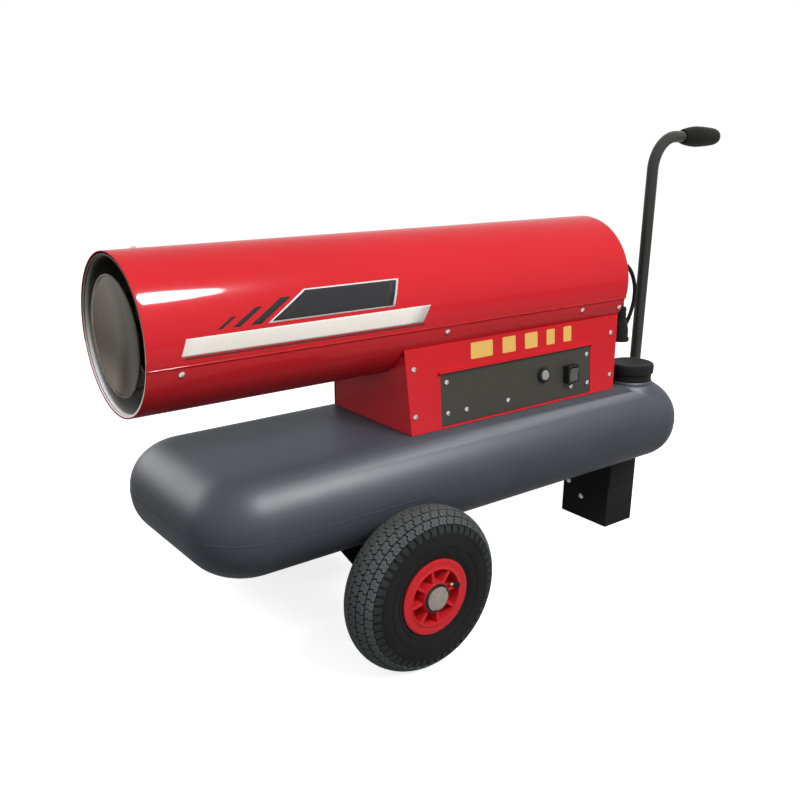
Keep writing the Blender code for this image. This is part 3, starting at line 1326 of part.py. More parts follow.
def build_foot(frame):
    x0, x1 = FOOT_FRONT, LUG_REAR
    w = LUG_HALF_WIDTH
    z1, z2 = FOOT_SIDE_TOP, TANK_FOOT - FIT
    points = {
        "a": (x0, -w, 0), "b": (x0, w, 0), "c": (x0, w, z1), "d": (x0, -w, z1),
        "e": (x0, w, z2), "f": (x0, -w, z2), "g": (x1, -w, 0), "h": (x1, w, 0),
        "i": (x1, w, z1), "j": (x1, -w, z1),
    }
    bm = surface(points, ["adcb", "dfec", "agjd", "bcih", "abhg"])
    bmesh.ops.recalc_face_normals(bm, faces=bm.faces)
    front = min(bm.faces, key=lambda face: face.calc_center_median().x)
    if front.normal.x > 0:
        bmesh.ops.reverse_faces(bm, faces=bm.faces)
    foot = add("foot_bracket", bm, "black_steel", frame)
    solidify(foot, FOOT_PLATE)

    plate_front = LUG_REAR + FIT
    socket = add("handle_socket",
                 block((plate_front, -SOCKET_PLATE_HALF, SOCKET_FOOT),
                       (plate_front + SOCKET_PLATE, SOCKET_PLATE_HALF, SOCKET_TOP)),
                 "black_steel", frame)
    web = add("socket_web", block((plate_front + SOCKET_PLATE / 2, -SOCKET_WEB / 2, SOCKET_FOOT),
                                  (POLE_STATION, SOCKET_WEB / 2, SOCKET_TOP - SOCKET_WEB)), None, frame)
    sleeve = add("socket_sleeve",
                 turned([(SOCKET_FOOT, 0), (SOCKET_FOOT, POLE_BORE + SOCKET_WALL),
                         (SOCKET_TOP, POLE_BORE + SOCKET_WALL), (SOCKET_TOP, 0)], ROUND_STEPS, "Z"),
                 None, frame, (POLE_STATION, 0, 0))
    bore = add("socket_bore",
               turned([(POLE_FOOT - FIT, 0), (POLE_FOOT - FIT, POLE_BORE),
                       (SOCKET_TOP + OVERRUN, POLE_BORE), (SOCKET_TOP + OVERRUN, 0)], ROUND_STEPS, "Z"),
               None, frame, (POLE_STATION, 0, 0))
    boolean(socket, web, 'UNION')
    boolean(socket, sleeve, 'UNION')
    boolean(socket, bore, 'DIFFERENCE')


def build_handle(frame):
    corners = [(POLE_STATION, 0, POLE_FOOT), (POLE_STATION, 0, POLE_TOP), (POLE_END, 0, POLE_TOP)]
    tube("handle_pole", rounded_route(corners, POLE_BEND_RADIUS, POLE_BEND_STEPS), POLE_RADIUS,
         "pole_steel", frame, POLE_RESOLUTION)

    bore_end = POLE_END + FIT
    length = GRIP_END - GRIP_START
    grip = [(bore_end, 0), (bore_end, POLE_BORE), (GRIP_START, POLE_BORE)]
    for along_share, radius_share in GRIP_SECTION_SHARES:
        grip.append((GRIP_START + length * along_share, GRIP_RADIUS * radius_share))
    grip.append((GRIP_END, 0))
    add("handle_grip", turned(grip, ROUND_STEPS), "grip_rubber", frame, (0, 0, POLE_TOP))

    inner, outer = POLE_BORE, POLE_BORE + CLAMP_STRAP
    tank_side = TANK_REAR + FIT - POLE_STATION
    foot = TANK_MID - CLAMP_HEIGHT / 2
    arc = []
    for step in range(CLAMP_STEPS + 1):
        angle = math.pi / 2 - math.pi * step / CLAMP_STEPS
        arc.append((math.cos(angle), math.sin(angle)))
    ear = tank_side + CLAMP_STRAP
    outline = ([(tank_side, CLAMP_EAR), (ear, CLAMP_EAR), (ear, outer)]
               + [(outer * x, outer * y) for x, y in arc]
               + [(ear, -outer), (ear, -CLAMP_EAR), (tank_side, -CLAMP_EAR), (tank_side, -inner)]
               + [(inner * x, inner * y) for x, y in reversed(arc)] + [(tank_side, inner)])
    add("handle_clamp", extruded([(x, y, foot) for x, y in outline], CLAMP_HEIGHT), "black_steel",
        frame, (POLE_STATION, 0, 0))


def build_bolts(frame):
    """Hexagon heads that hold the foot to the tank's lug, seen on the front of the foot."""
    profile = [(0, 0), (0, BOLT_RADIUS), (BOLT_CHAMFER - BOLT_HEIGHT, BOLT_RADIUS),
               (-BOLT_HEIGHT, BOLT_RADIUS - BOLT_CHAMFER), (-BOLT_HEIGHT, 0)]
    for name, y, z in FOOT_BOLTS:
        add("foot_bolt_%s" % name, turned(profile, BOLT_STEPS), "zinc_steel", frame,
            (FOOT_FRONT - FIT, y, z))


def ribbed_boot(start, start_radius, end, end_radius, ribs):
    """Stepped profile points of a ribbed boot, wide end first."""
    points = []
    for rib in range(ribs):
        near, far = rib / ribs, (rib + RIB_SHARE) / ribs
        radius = start_radius + (end_radius - start_radius) * near
        groove = (radius + end_radius) / 2 - RUN
        points += [(start + (end - start) * near, radius), (start + (end - start) * far, radius),
                   (start + (end - start) * far, groove),
                   (start + (end - start) * (rib + 1) / ribs, groove)]
    return points


def build_cord(frame):
    wall = BOX_REAR + BOX_REAR_LEAN * GLAND_RISE / BOX_HEIGHT
    gland = ([(0, 0), (0, GLAND_COLLAR_RADIUS), (GLAND_COLLAR, GLAND_COLLAR_RADIUS)]
             + ribbed_boot(GLAND_COLLAR, GLAND_NECK_RADIUS, GLAND_LENGTH, GLAND_TIP_RADIUS,
                           BOOT_RIBS)
             + [(GLAND_LENGTH, 0)])
    add("strain_relief", turned(gland, SMALL_STEPS), "black_plastic", frame,
        (wall + FIT, -GLAND_OFFSET, BOX_FOOT_Z + GLAND_RISE), (0, REAR_LEAN, 0))
    route = [(TUBE_LENGTH + x, y, z) for x, y, z in CORD_ROUTE]
    middle = smooth_route(route[1:-1], CORD_SPACING)
    tube("mains_cord", [route[0], *middle, route[-1]], CORD_RADIUS, "cord_rubber", frame)

    boot_foot = PLUG_LENGTH
    body = ([(0, 0), (0, PLUG_RADIUS), (PLUG_FACE, PLUG_RADIUS), (PLUG_FACE, PLUG_WAIST),
             (PLUG_BODY, PLUG_WAIST), (PLUG_SHOULDER, PLUG_SHOULDER_RADIUS),
             (boot_foot, PLUG_BOOT_RADIUS)]
            + ribbed_boot(boot_foot, PLUG_BOOT_RADIUS, boot_foot + PLUG_BOOT_LENGTH, PLUG_BOOT_TIP,
                          BOOT_RIBS)[1:]
            + [(boot_foot + PLUG_BOOT_LENGTH, 0)])
    add("mains_plug", turned(body, MEDIUM_STEPS, "Z"), "cord_rubber", frame,
        (PLUG_STATION, -PLUG_OFFSET, PLUG_FACE_Z))


def build_heater():
    clear_scene()
    frame = empty("heater_frame", (-OVERALL_LENGTH / 2, 0, 0))
    axis = empty("tube_axis", (0, 0, TUBE_AXIS_Z), frame)
    build_jacket(axis)
    build_liner(axis)
    build_chamber(axis)
    build_flame_disc(axis)
    build_burner(axis)
    build_motor(axis)
    build_fan(axis)
    build_guard(axis)
    left_panel = build_box(frame)
    build_controls(left_panel)
    build_box_contents(frame, axis)
    build_tank(frame)
    build_wheel("left", 0, frame)
    build_wheel("right", math.pi, frame)
    build_axle(frame)
    build_foot(frame)
    build_handle(frame)
    build_bolts(frame)
    build_cord(frame)


build_heater()
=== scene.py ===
"""Looks of the oil-fired space heater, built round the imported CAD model."""

import math

import bmesh
import bpy
from mathutils import Matrix, Vector


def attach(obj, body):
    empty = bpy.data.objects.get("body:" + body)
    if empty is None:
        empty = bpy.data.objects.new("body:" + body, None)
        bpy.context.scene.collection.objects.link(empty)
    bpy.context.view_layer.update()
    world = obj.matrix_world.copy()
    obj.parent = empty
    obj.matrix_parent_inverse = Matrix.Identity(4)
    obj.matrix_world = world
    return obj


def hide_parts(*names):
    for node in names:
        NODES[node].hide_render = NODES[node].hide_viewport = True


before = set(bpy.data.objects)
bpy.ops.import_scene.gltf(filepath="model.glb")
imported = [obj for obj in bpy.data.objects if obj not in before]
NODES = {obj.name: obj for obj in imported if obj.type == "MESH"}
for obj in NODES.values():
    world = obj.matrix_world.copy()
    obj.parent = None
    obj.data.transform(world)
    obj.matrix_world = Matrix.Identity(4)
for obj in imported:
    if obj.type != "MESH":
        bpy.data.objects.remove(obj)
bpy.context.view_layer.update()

# Stations are measured from the outlet of the tube, as in the part's source.
SHIFT = -1.294 / 2
TUBE_Z = 0.514
TUBE_RADIUS = 0.112
TUBE_LENGTH = 0.912
LOWER_RADIUS = 0.1105
LEAN = math.atan2(0.0115, 0.1365)
PANEL_Y = -0.1090
PANEL_Z = 0.3213
TANK_TOP = 0.3210
TANK_HEIGHT = 0.1475
TANK_EDGE = 0.0695
TANK_SHOULDER = 0.0780
TANK_FRONT = 0.0415
TANK_REAR = 1.0840
TANK_HALF = 0.1765
TANK_MID = TANK_TOP - TANK_HEIGHT / 2
LUG_FRONT = 0.974
WHEEL_X = 0.347
WHEEL = Vector((WHEEL_X + SHIFT, 0.0, 0.130))
WHEEL_OFFSET = 0.226
CAP_X, CAP_Y = 0.963, -0.095
POLE_X = 1.0955
POLE_RADIUS = 0.0110
GRIP_Z = 0.7660
VALVE_LEAN = math.radians(20.4)


def at(x, y, z):
    return Vector((x + SHIFT, y, z))


def on_tube(x, degrees, radius):
    """A point on the tube; the angle is counted up from the side that faces -Y."""
    angle = math.radians(degrees)
    return at(x, -radius * math.cos(angle), TUBE_Z + radius * math.sin(angle))


def on_panel(x, w, out, side=-1):
    """A point on a leaning side panel: station, height along the slope, and distance out."""
    up = Vector((0, -side * math.sin(LEAN), math.cos(LEAN)))
    away = Vector((0, side * math.cos(LEAN), math.sin(LEAN)))
    return Vector((x + SHIFT, side * -PANEL_Y, PANEL_Z)) + up * w + away * out


def put(name, data):
    """Adds an object to the scene."""
    thing = bpy.data.objects.new(name, data)
    bpy.context.scene.collection.objects.link(thing)
    return thing


def to_mesh(name, bm):
    mesh = bpy.data.meshes.new(name)
    bm.to_mesh(mesh)
    bm.free()
    return mesh


# Section: camera, light and floor

# The picture's side, the focal length and the optical centre in pixels, and the sensor in mm.
PICTURE = 800
FOCAL = 913.957
CENTRE_X, CENTRE_Y = 407.883, 439.765
SENSOR = 36

WHITE = (1, 1, 1, 1)
SKY = 0.30
FLOOR_GLOW = 0.75
FLOOR_TONE = 0.93
FLOOR_BOUNCE = 0.10

# Name, place, aim, size both ways, and power. The last item names the pieces whose gloss
# alone a lamp lights; the other lamps light everything but leave no highlight.
LAMPS = (
    ("key", (0.22, -2.15, 2.35), (0, 0, 0.40), 1.2, 1.2, 75, ""),
    ("fill", (-2.2, -1.0, 1.3), (-0.4, 0, 0.4), 1.6, 1.6, 13, ""),
    ("card", (-0.13, -0.80, 1.70), (-0.13, -0.09, 0.58), 0.52, 0.40, 76, "hood_upper hood_lower"),
    ("sheen", (0.27, -0.95, 1.85), (-0.30, -0.13, 0.30), 1.06, 0.7, 375, "tank_body tank_collar"),
    ("front_sheen", (-1.18, 1.25, 0.98), (-0.57, -0.05, 0.30), 1.3, 0.8, 54, "tank_body"),
    ("back", (-0.2, 2.4, 2.4), (0, 0, 0.4), 2.0, 2.0, 22, ""),
)


def make_camera():
    """The camera, as recovered from the photograph."""
    right = Vector((0.788914, -0.614421, 0.010112))
    down = Vector((-0.192097, -0.262216, -0.945696))
    ahead = Vector((0.583707, 0.744131, -0.324894))
    data = bpy.data.cameras.new("camera")
    camera = put("camera", data)
    turn = Matrix((right, -down, -ahead)).transposed()
    camera.matrix_world = Matrix.Translation(at(-0.42025, -1.16934, 0.78081)) @ turn.to_4x4()
    data.sensor_width = SENSOR
    data.lens = FOCAL * SENSOR / PICTURE
    data.shift_x = (PICTURE / 2 - CENTRE_X) / PICTURE
    data.shift_y = (CENTRE_Y - PICTURE / 2) / PICTURE
    data.clip_start = 0.05
    bpy.context.scene.camera = camera


def make_lamps():
    for name, place, aim, size, size_y, power, takers in LAMPS:
        data = bpy.data.lights.new(name, 'AREA')
        data.shape = 'ELLIPSE' if name == "card" else 'RECTANGLE'
        data.size = size
        data.size_y = size_y
        data.energy = power
        lamp = put(name, data)
        lamp.location = place
        lamp.rotation_euler = (Vector(aim) - Vector(place)).to_track_quat('-Z', 'Y').to_euler()
        if not takers:
            lamp.visible_glossy = False
            continue
        lamp.visible_diffuse = False
        group = bpy.data.collections.new(name + "_takers")
        for taker in takers.split():
            group.objects.link(bpy.data.objects[taker])
        lamp.light_linking.receiver_collection = group


def link(tree, start, end):
    tree.links.new(start, end)


def new_node(tree, kind, inputs=(), **values):
    """A node with its settings, and with numbers or colours on its inputs."""
    node = tree.nodes.new(kind)
    for key, value in values.items():
        setattr(node, key, value)
    for key, value in dict(inputs).items():
        node.inputs[key].default_value = value
    return node


def make_world():
    """Soft even light, and plain white where the camera, mirrors and glass look at it."""
    world = bpy.data.worlds.new("studio")
    bpy.context.scene.world = world
    world.use_nodes = True
    tree = world.node_tree
    tree.nodes.clear()
    mix = new_node(tree, 'ShaderNodeMixShader')
    link(tree, looking(tree, new_node(tree, 'ShaderNodeLightPath')), mix.inputs[0])
    for socket, strength in ((1, SKY), (2, 1.0)):
        light = new_node(tree, 'ShaderNodeBackground', {"Color": WHITE, "Strength": strength})
        link(tree, light.outputs[0], mix.inputs[socket])
    link(tree, mix.outputs[0], new_node(tree, 'ShaderNodeOutputWorld').inputs["Surface"])


def looking(tree, path):
    """1 for rays that look at the studio: from the camera, off gloss or through glass."""
    total = path.outputs["Is Camera Ray"]
    for kind in ("Is Glossy Ray", "Is Transmission Ray"):
        add = new_node(tree, 'ShaderNodeMath', operation='ADD', use_clamp=True)
        link(tree, total, add.inputs[0])
        link(tree, path.outputs[kind], add.inputs[1])
        total = add.outputs[0]
    return total


def make_floor():
    """A floor that looks white, keeps the shadow and throws little light back up."""
    bm = bmesh.new()
    bmesh.ops.create_grid(bm, x_segments=2, y_segments=2, size=9)
    mesh = to_mesh("studio_floor", bm)
    floor = put("studio_floor", mesh)
    floor.location = (0, 0, -0.0005)
    material = bpy.data.materials.new("studio_floor")
    material.use_nodes = True
    tree = material.node_tree
    shader = tree.nodes["Principled BSDF"]
    shader.inputs["Roughness"].default_value = 0.9
    shader.inputs["Specular IOR Level"].default_value = 0.0
    glow = new_node(tree, 'ShaderNodeEmission', {"Color": WHITE, "Strength": FLOOR_GLOW})
    path = new_node(tree, 'ShaderNodeLightPath')
    tone = new_node(tree, 'ShaderNodeMix', {6: (FLOOR_TONE,) * 3 + (1,), 7: (FLOOR_BOUNCE,) * 3 + (1,)},
                    data_type='RGBA')
    link(tree, path.outputs["Is Diffuse Ray"], tone.inputs["Factor"])
    link(tree, tone.outputs[2], shader.inputs["Base Color"])
    add = new_node(tree, 'ShaderNodeAddShader')
    mix = new_node(tree, 'ShaderNodeMixShader')
    link(tree, shader.outputs[0], add.inputs[0])
    link(tree, glow.outputs[0], add.inputs[1])
    link(tree, path.outputs["Is Camera Ray"], mix.inputs[0])
    link(tree, shader.outputs[0], mix.inputs[1])
    link(tree, add.outputs[0], mix.inputs[2])
    link(tree, mix.outputs[0], tree.nodes["Material Output"].inputs["Surface"])
    mesh.materials.append(material)


# Section: materials

class Surface:
    """A Principled material whose colour, roughness and bump come from noise."""

    def __init__(self, name, metallic=0.0, coat=0.0, coat_roughness=0.1, specular=0.5):
        self.material = bpy.data.materials.new(name)
        self.material.use_nodes = True
        self.tree = self.material.node_tree
        self.shader = self.tree.nodes["Principled BSDF"]
        for key, value in (("Metallic", metallic), ("Coat Weight", coat),
                           ("Coat Roughness", coat_roughness), ("Specular IOR Level", specular)):
            self.shader.inputs[key].default_value = value
        self.coords = self.node('ShaderNodeTexCoord')
        self.bump = None

    def node(self, kind, inputs=(), **values):
        return new_node(self.tree, kind, inputs, **values)

    def feed(self, *pairs):
        """Gives each socket its number or colour, or links it."""
        for socket, value in pairs:
            if isinstance(value, tuple):
                socket.default_value = (*value, 1)
            elif isinstance(value, (int, float)):
                socket.default_value = value
            elif value is not None:
                link(self.tree, value, socket)

    def mapped(self, scale=(1, 1, 1), location=(0, 0, 0)):
        mapping = self.node('ShaderNodeMapping', {"Scale": scale, "Location": location})
        link(self.tree, self.coords.outputs["Object"], mapping.inputs["Vector"])
        return mapping.outputs["Vector"]

    def axes(self, location=(0, 0, 0)):
        """The object's own coordinates, moved by location, one by one."""
        split = self.node('ShaderNodeSeparateXYZ')
        link(self.tree, self.mapped(location=location), split.inputs[0])
        return split.outputs

    def noise(self, scale, detail, roughness=0.5, stretch=(1, 1, 1), vector=None):
        noise = self.node('ShaderNodeTexNoise',
                          {"Scale": scale, "Detail": detail, "Roughness": roughness})
        link(self.tree, vector or self.mapped(stretch), noise.inputs["Vector"])
        return noise.outputs["Fac"]

    def ramp(self, value, stops):
        """Colours or greys at places between 0 and 1."""
        ramp = self.node('ShaderNodeValToRGB')
        elements = ramp.color_ramp.elements
        while len(elements) < len(stops):
            elements.new(0.5)
        for element, (place, colour) in zip(elements, stops):
            element.position = place
            element.color = (*colour, 1) if isinstance(colour, tuple) else (colour,) * 3 + (1,)
        link(self.tree, value, ramp.inputs["Fac"])
        return ramp.outputs["Color"]

    def mix(self, factor, first, second, blend='MIX'):
        mix = self.node('ShaderNodeMix', data_type='RGBA', blend_type=blend)
        self.feed((mix.inputs["Factor"], factor), (mix.inputs[6], first), (mix.inputs[7], second))
        return mix.outputs[2]

    def maths(self, operation, first, second=None):
        node = self.node('ShaderNodeMath', operation=operation)
        self.feed(*zip(node.inputs, (first, second)))
        return node.outputs[0]

    def colour(self, socket):
        link(self.tree, socket, self.shader.inputs["Base Color"])

    def rough(self, value, low, high):
        node = self.node('ShaderNodeMapRange', {"To Min": low, "To Max": high})
        link(self.tree, value, node.inputs["Value"])
        link(self.tree, node.outputs[0], self.shader.inputs["Roughness"])

    def across(self, value, low, high, wander):
        """0 to 1 between two places on the object, with an uneven edge."""
        node = self.node('ShaderNodeMapRange', {"From Min": low, "From Max": high})
        drift = self.maths('MULTIPLY', self.maths('SUBTRACT', self.noise(14, 4, 0.6), 0.5), wander)
        link(self.tree, self.maths('ADD', value, drift), node.inputs["Value"])
        return node.outputs[0]

    def relief(self, height, strength, distance):
        """Adds one layer of bump; later layers sit on the earlier ones."""
        node = self.node('ShaderNodeBump', {"Strength": strength, "Distance": distance})
        link(self.tree, height, node.inputs["Height"])
        if self.bump is not None:
            link(self.tree, self.bump, node.inputs["Normal"])
        self.bump = node.outputs["Normal"]
        link(self.tree, self.bump, self.shader.inputs["Normal"])


def painted(name, light, dark, gloss=(0.18, 0.28), coat=0.16):
    """Powder coat: slow colour drift, fine orange peel, and a glossy coat."""
    s = Surface(name, coat=coat, coat_roughness=0.055, specular=0.02)
    drift = s.noise(3.2, 5, 0.6)
    speck = s.noise(900, 2, 0.7)
    base = s.ramp(drift, [(0.25, dark), (0.75, light)])
    s.colour(s.mix(s.ramp(speck, [(0.62, 0.0), (0.80, 0.25)]), base, light))
    s.rough(s.noise(14, 4), *gloss)
    s.relief(s.noise(420, 3, 0.5), 0.03, 0.0004)
    return s.material


def satin(name, light, dark, rough=(0.42, 0.55), grain=650, depth=0.12, specular=0.25, painted_shade=None):
    """Moulded plastic or satin paint with a fine grain and small marks, and painted shade towards the bottom
    if asked.
    """
    s = Surface(name, specular=specular)
    drift = s.noise(5.5, 6, 0.62)
    speck = s.noise(1500, 2, 0.8)
    base = s.ramp(drift, [(0.25, dark), (0.75, light)])
    tone = s.mix(s.ramp(speck, [(0.60, 0.0), (0.85, 0.35)]), base, light)
    # Painted shade: the colour is multiplied darker below a given height, standing in for a shadowed
    # underside.
    if painted_shade:
        low, high, shade = painted_shade
        veil = s.ramp(s.across(s.axes()["Z"], low, high, 0.02), [(0.0, shade), (1.0, 1.0)])
        tone = s.mix(1.0, tone, veil, 'MULTIPLY')
    s.colour(tone)
    s.rough(s.noise(24, 5), *rough)
    s.relief(s.noise(grain, 4, 0.6), depth, 0.0004)
    return s.material


def metal(name, light, dark, rough, stretch=(1, 1, 1), scale=320, depth=0.04):
    """Bare metal with brushed or cast texture along one direction."""
    s = Surface(name, metallic=1.0)
    lines = s.noise(scale, 5, 0.7, stretch)
    drift = s.noise(7, 4, 0.6)
    tone = s.mix(0.5, s.ramp(lines, [(0.3, dark), (0.7, light)]), s.ramp(drift, [(0.3, dark), (0.7, light)]))
    s.colour(tone)
    s.rough(s.noise(scale, 4, 0.6, stretch), *rough)
    s.relief(lines, depth, 0.0003)
    return s.material


def brushed_round(name, light, dark, centre, rough, painted_reflection):
    """Metal brushed in circles about the tube's axis, with a painted dark brown reflection over one side."""
    s = Surface(name, metallic=1.0)
    axes = s.axes(tuple(-c for c in centre))
    a, b = axes["Y"], axes["Z"]
    radius = s.maths('SQRT', s.maths('ADD', s.maths('MULTIPLY', a, a), s.maths('MULTIPLY', b, b)))
    turn = s.maths('ARCTAN2', b, a)
    join = s.node('ShaderNodeCombineXYZ')
    link(s.tree, s.maths('MULTIPLY', radius, 900), join.inputs[0])
    link(s.tree, s.maths('MULTIPLY', turn, 0.9), join.inputs[1])
    lines = s.noise(1.0, 4, 0.7, vector=join.outputs[0])
    drift = s.noise(9, 5, 0.65)
    base = s.mix(0.45, s.ramp(lines, [(0.3, dark), (0.7, light)]),
                 s.ramp(drift, [(0.3, dark), (0.75, light)]))
    # Painted reflection: one side across the disc is multiplied dark brown, standing in for a dark
    # reflection.
    s.colour(s.mix(1.0, base, s.ramp(s.across(a, -0.08, 0.08, 0.02), painted_reflection), 'MULTIPLY'))
    s.rough(lines, *rough)
    s.relief(lines, 0.05, 0.0002)
    return s.material


def shade_painted_sheet(name, low, high, stops, rough):
    """Bare sheet with painted light and shade: light towards the bottom and dark towards the top."""
    s = Surface(name, metallic=1.0)
    # Painted light and shade: the colour goes by height, standing in for bright and dark reflections.
    tone = s.ramp(s.across(s.axes()["Z"], low, high, 0.03), stops)
    lines = s.noise(260, 5, 0.7, (0.05, 1, 1))
    s.colour(s.mix(1.0, tone, s.ramp(lines, [(0.3, 0.82), (0.7, 1.0)]), 'MULTIPLY'))
    s.rough(s.noise(40, 4), *rough)
    s.relief(lines, 0.04, 0.0003)
    return s.material


def rubber(name, light, dark, rough=(0.62, 0.82), dust=0.25):
    """Rubber with a dusty bloom and fine pores."""
    s = Surface(name, specular=0.08)
    bloom = s.noise(16, 6, 0.65)
    base = s.ramp(bloom, [(0.3, dark), (0.8, light)])
    pores = s.noise(1100, 3, 0.7)
    s.colour(s.mix(s.ramp(pores, [(0.55, 0.0), (0.9, dust)]), base, light))
    s.rough(s.noise(30, 4), *rough)
    s.relief(s.noise(800, 4, 0.6), 0.18, 0.0004)
    return s.material


M = {}


def make_materials():
    M["red"] = painted("red_coat", (0.640, 0.022, 0.030), (0.560, 0.018, 0.024))
    M["red_plastic"] = painted("red_rim", (0.640, 0.022, 0.030), (0.580, 0.018, 0.024), (0.26, 0.38), 0.2)
    # The tank's last argument paints shade on its lower part: darker from 0.27 m down to 0.17 m, where it is
    # 0.58 of its colour.
    M["tank"] = satin("tank_moulding", (0.070, 0.077, 0.092), (0.052, 0.058, 0.071), (0.42, 0.52), 500, 0.10,
                      0.07, (0.170, 0.270, 0.58))
    M["black_coat"] = satin("black_coat", (0.010, 0.010, 0.010), (0.006, 0.006, 0.007),
                            (0.38, 0.50), 480, 0.10, 0.08)
    M["pole"] = satin("graphite_coat", (0.040, 0.040, 0.038), (0.028, 0.028, 0.027), (0.22, 0.32), 300, 0.03)
    M["plate"] = satin("olive_plate", (0.050, 0.048, 0.040), (0.040, 0.038, 0.031), (0.46, 0.58), 800, 0.10)
    M["black_plastic"] = satin("black_moulding", (0.017, 0.017, 0.018), (0.011, 0.011, 0.012),
                               (0.40, 0.54), 620, 0.16)
    M["cap"] = satin("cap_moulding", (0.020, 0.020, 0.020), (0.013, 0.013, 0.013),
                     (0.44, 0.58), 560, 0.18, 0.05)
    M["steel"] = metal("bare_sheet", (0.66, 0.65, 0.63), (0.46, 0.45, 0.43), (0.16, 0.30), (0.05, 1, 1))
    # The disc's last argument paints a dark brown reflection over one side of it.
    M["disc"] = brushed_round("disc_sheet", (0.215, 0.188, 0.155), (0.145, 0.125, 0.100), (SHIFT, 0, TUBE_Z),
                              (0.20, 0.32), ((0.48, (0.28, 0.235, 0.17)), (0.64, 1.0)))
    # The liner's stops paint light low down and shade high up, across the tube's height.
    M["liner"] = shade_painted_sheet("liner_sheet", TUBE_Z - 0.104, TUBE_Z + 0.104,
                              ((0.10, 0.88), (0.35, (0.58, 0.57, 0.54)), (0.60, (0.20, 0.20, 0.17)),
                               (0.90, (0.075, 0.075, 0.058))), (0.42, 0.55))
    M["zinc"] = metal("zinc_plate", (0.74, 0.74, 0.73), (0.56, 0.56, 0.55), (0.20, 0.34))
    M["brass"] = metal("turned_brass", (0.70, 0.52, 0.22), (0.56, 0.40, 0.15), (0.20, 0.34))
    M["copper"] = metal("copper_pipe", (0.72, 0.36, 0.22), (0.55, 0.26, 0.15), (0.18, 0.34))
    M["alloy"] = metal("cast_alloy", (0.50, 0.50, 0.49), (0.36, 0.36, 0.35),
                       (0.40, 0.58), (1, 1, 1), 700, 0.3)
    M["fan"] = metal("fan_sheet", (0.62, 0.62, 0.61), (0.48, 0.48, 0.47), (0.30, 0.45))
    M["motor"] = satin("motor_coat", (0.115, 0.12, 0.125), (0.085, 0.09, 0.095), (0.38, 0.5))
    M["porcelain"] = satin("glazed_rod", (0.80, 0.79, 0.75), (0.72, 0.71, 0.66), (0.12, 0.2))
    M["controller"] = satin("controller_case", (0.045, 0.065, 0.12), (0.035, 0.05, 0.095))
    M["potting"] = satin("potted_case", (0.03, 0.03, 0.03), (0.02, 0.02, 0.02))
    M["bowl"] = satin("filter_bowl", (0.48, 0.46, 0.40), (0.40, 0.38, 0.32), (0.1, 0.2))
    M["rubber"] = rubber("lead_rubber", (0.020, 0.020, 0.020), (0.010, 0.010, 0.010), (0.45, 0.6), 0.1)
    M["grip"] = rubber("grip_rubber", (0.014, 0.014, 0.013), (0.009, 0.009, 0.008), (0.42, 0.58), 0.1)
    M["tyre"] = rubber("tyre_rubber", (0.021, 0.021, 0.021), (0.013, 0.013, 0.013), (0.62, 0.80), 0.3)
    # The tread blocks are much lighter than the carcass: a dusty bloom and painted light on the blocks.
    M["tread"] = rubber("tread_rubber_painted_lit", (0.116, 0.120, 0.122), (0.074, 0.077, 0.078), (0.60, 0.78), 0.3)
    M["shoulder"] = rubber("shoulder_rubber", (0.040, 0.042, 0.042), (0.026, 0.027, 0.027), (0.60, 0.78), 0.3)
    M["seal"] = rubber("seal_rubber", (0.02, 0.02, 0.02), (0.012, 0.012, 0.012))
    M["hubcap"] = metal("pressed_cap", (0.36, 0.318, 0.285), (0.22, 0.192, 0.168),
                        (0.18, 0.30), (1, 1, 1), 60, 0.02)
    M["silver"] = satin("silver_film", (0.86, 0.81, 0.75), (0.80, 0.75, 0.70), (0.25, 0.35), 900, 0.02)
    M["film_dark"] = satin("dark_film", (0.026, 0.026, 0.028), (0.020, 0.020, 0.022), (0.22, 0.32), 900, 0.02)
    M["film_light"] = satin("light_film", (0.80, 0.80, 0.80), (0.74, 0.74, 0.74), (0.25, 0.35), 900, 0.02)
    M["film_yellow"] = satin("yellow_film", (0.80, 0.50, 0.13), (0.72, 0.44, 0.11), (0.3, 0.42), 900, 0.02)
    M["lens"] = satin("clear_cap", (0.36, 0.36, 0.35), (0.24, 0.24, 0.23), (0.08, 0.16), 200, 0.02)
    M["rocker"] = satin("grey_rocker", (0.100, 0.104, 0.098), (0.080, 0.084, 0.078), (0.34, 0.46), 700, 0.10)
    M["web"] = painted("rim_web", (0.560, 0.020, 0.027), (0.480, 0.016, 0.022), (0.34, 0.46), 0.1)
    M["valve"] = rubber("valve_rubber", (0.02, 0.02, 0.02), (0.012, 0.012, 0.012))


NODE_MATERIALS = {
    "red": "jacket_upper jacket_lower box_front_wall box_rear_wall side_panel_left side_panel_right",
    "red_plastic": "rim_left rim_right",
    "liner": "outlet_liner",
    "disc": "flame_disc",
    "steel": "combustion_chamber chamber_struts chamber_support flame_disc_straps burner_head"
             " nozzle_spider motor_shaft",
    "hubcap": "hubcap_left hubcap_right",
    "zinc": "axle foot_bolt_upper foot_bolt_lower",
    "brass": "nozzle_holder",
    "porcelain": "ignition_electrodes",
    "motor": "fan_motor",
    "black_coat": "motor_bracket inlet_guard cord_hook axle_bracket_left axle_bracket_right axle_tube"
                  " foot_bracket handle_socket handle_clamp",
    "pole": "handle_pole",
    "alloy": "fuel_pump",
    "copper": "nozzle_pipe suction_pipe",
    "fan": "fan",
    "plate": "control_plate",
    "black_plastic": "switch_housing reset_bezel strain_relief",
    "rocker": "switch_rocker",
    "cap": "filler_cap",
    "lens": "reset_button",
    "controller": "burner_controller",
    "potting": "ignition_transformer",
    "bowl": "fuel_filter",
    "tank": "fuel_tank filler_neck",
    "seal": "cap_seal",
    "tyre": "tyre_left tyre_right",
    "valve": "valve_left valve_right",
    "grip": "handle_grip",
    "rubber": "mains_cord mains_plug",
}


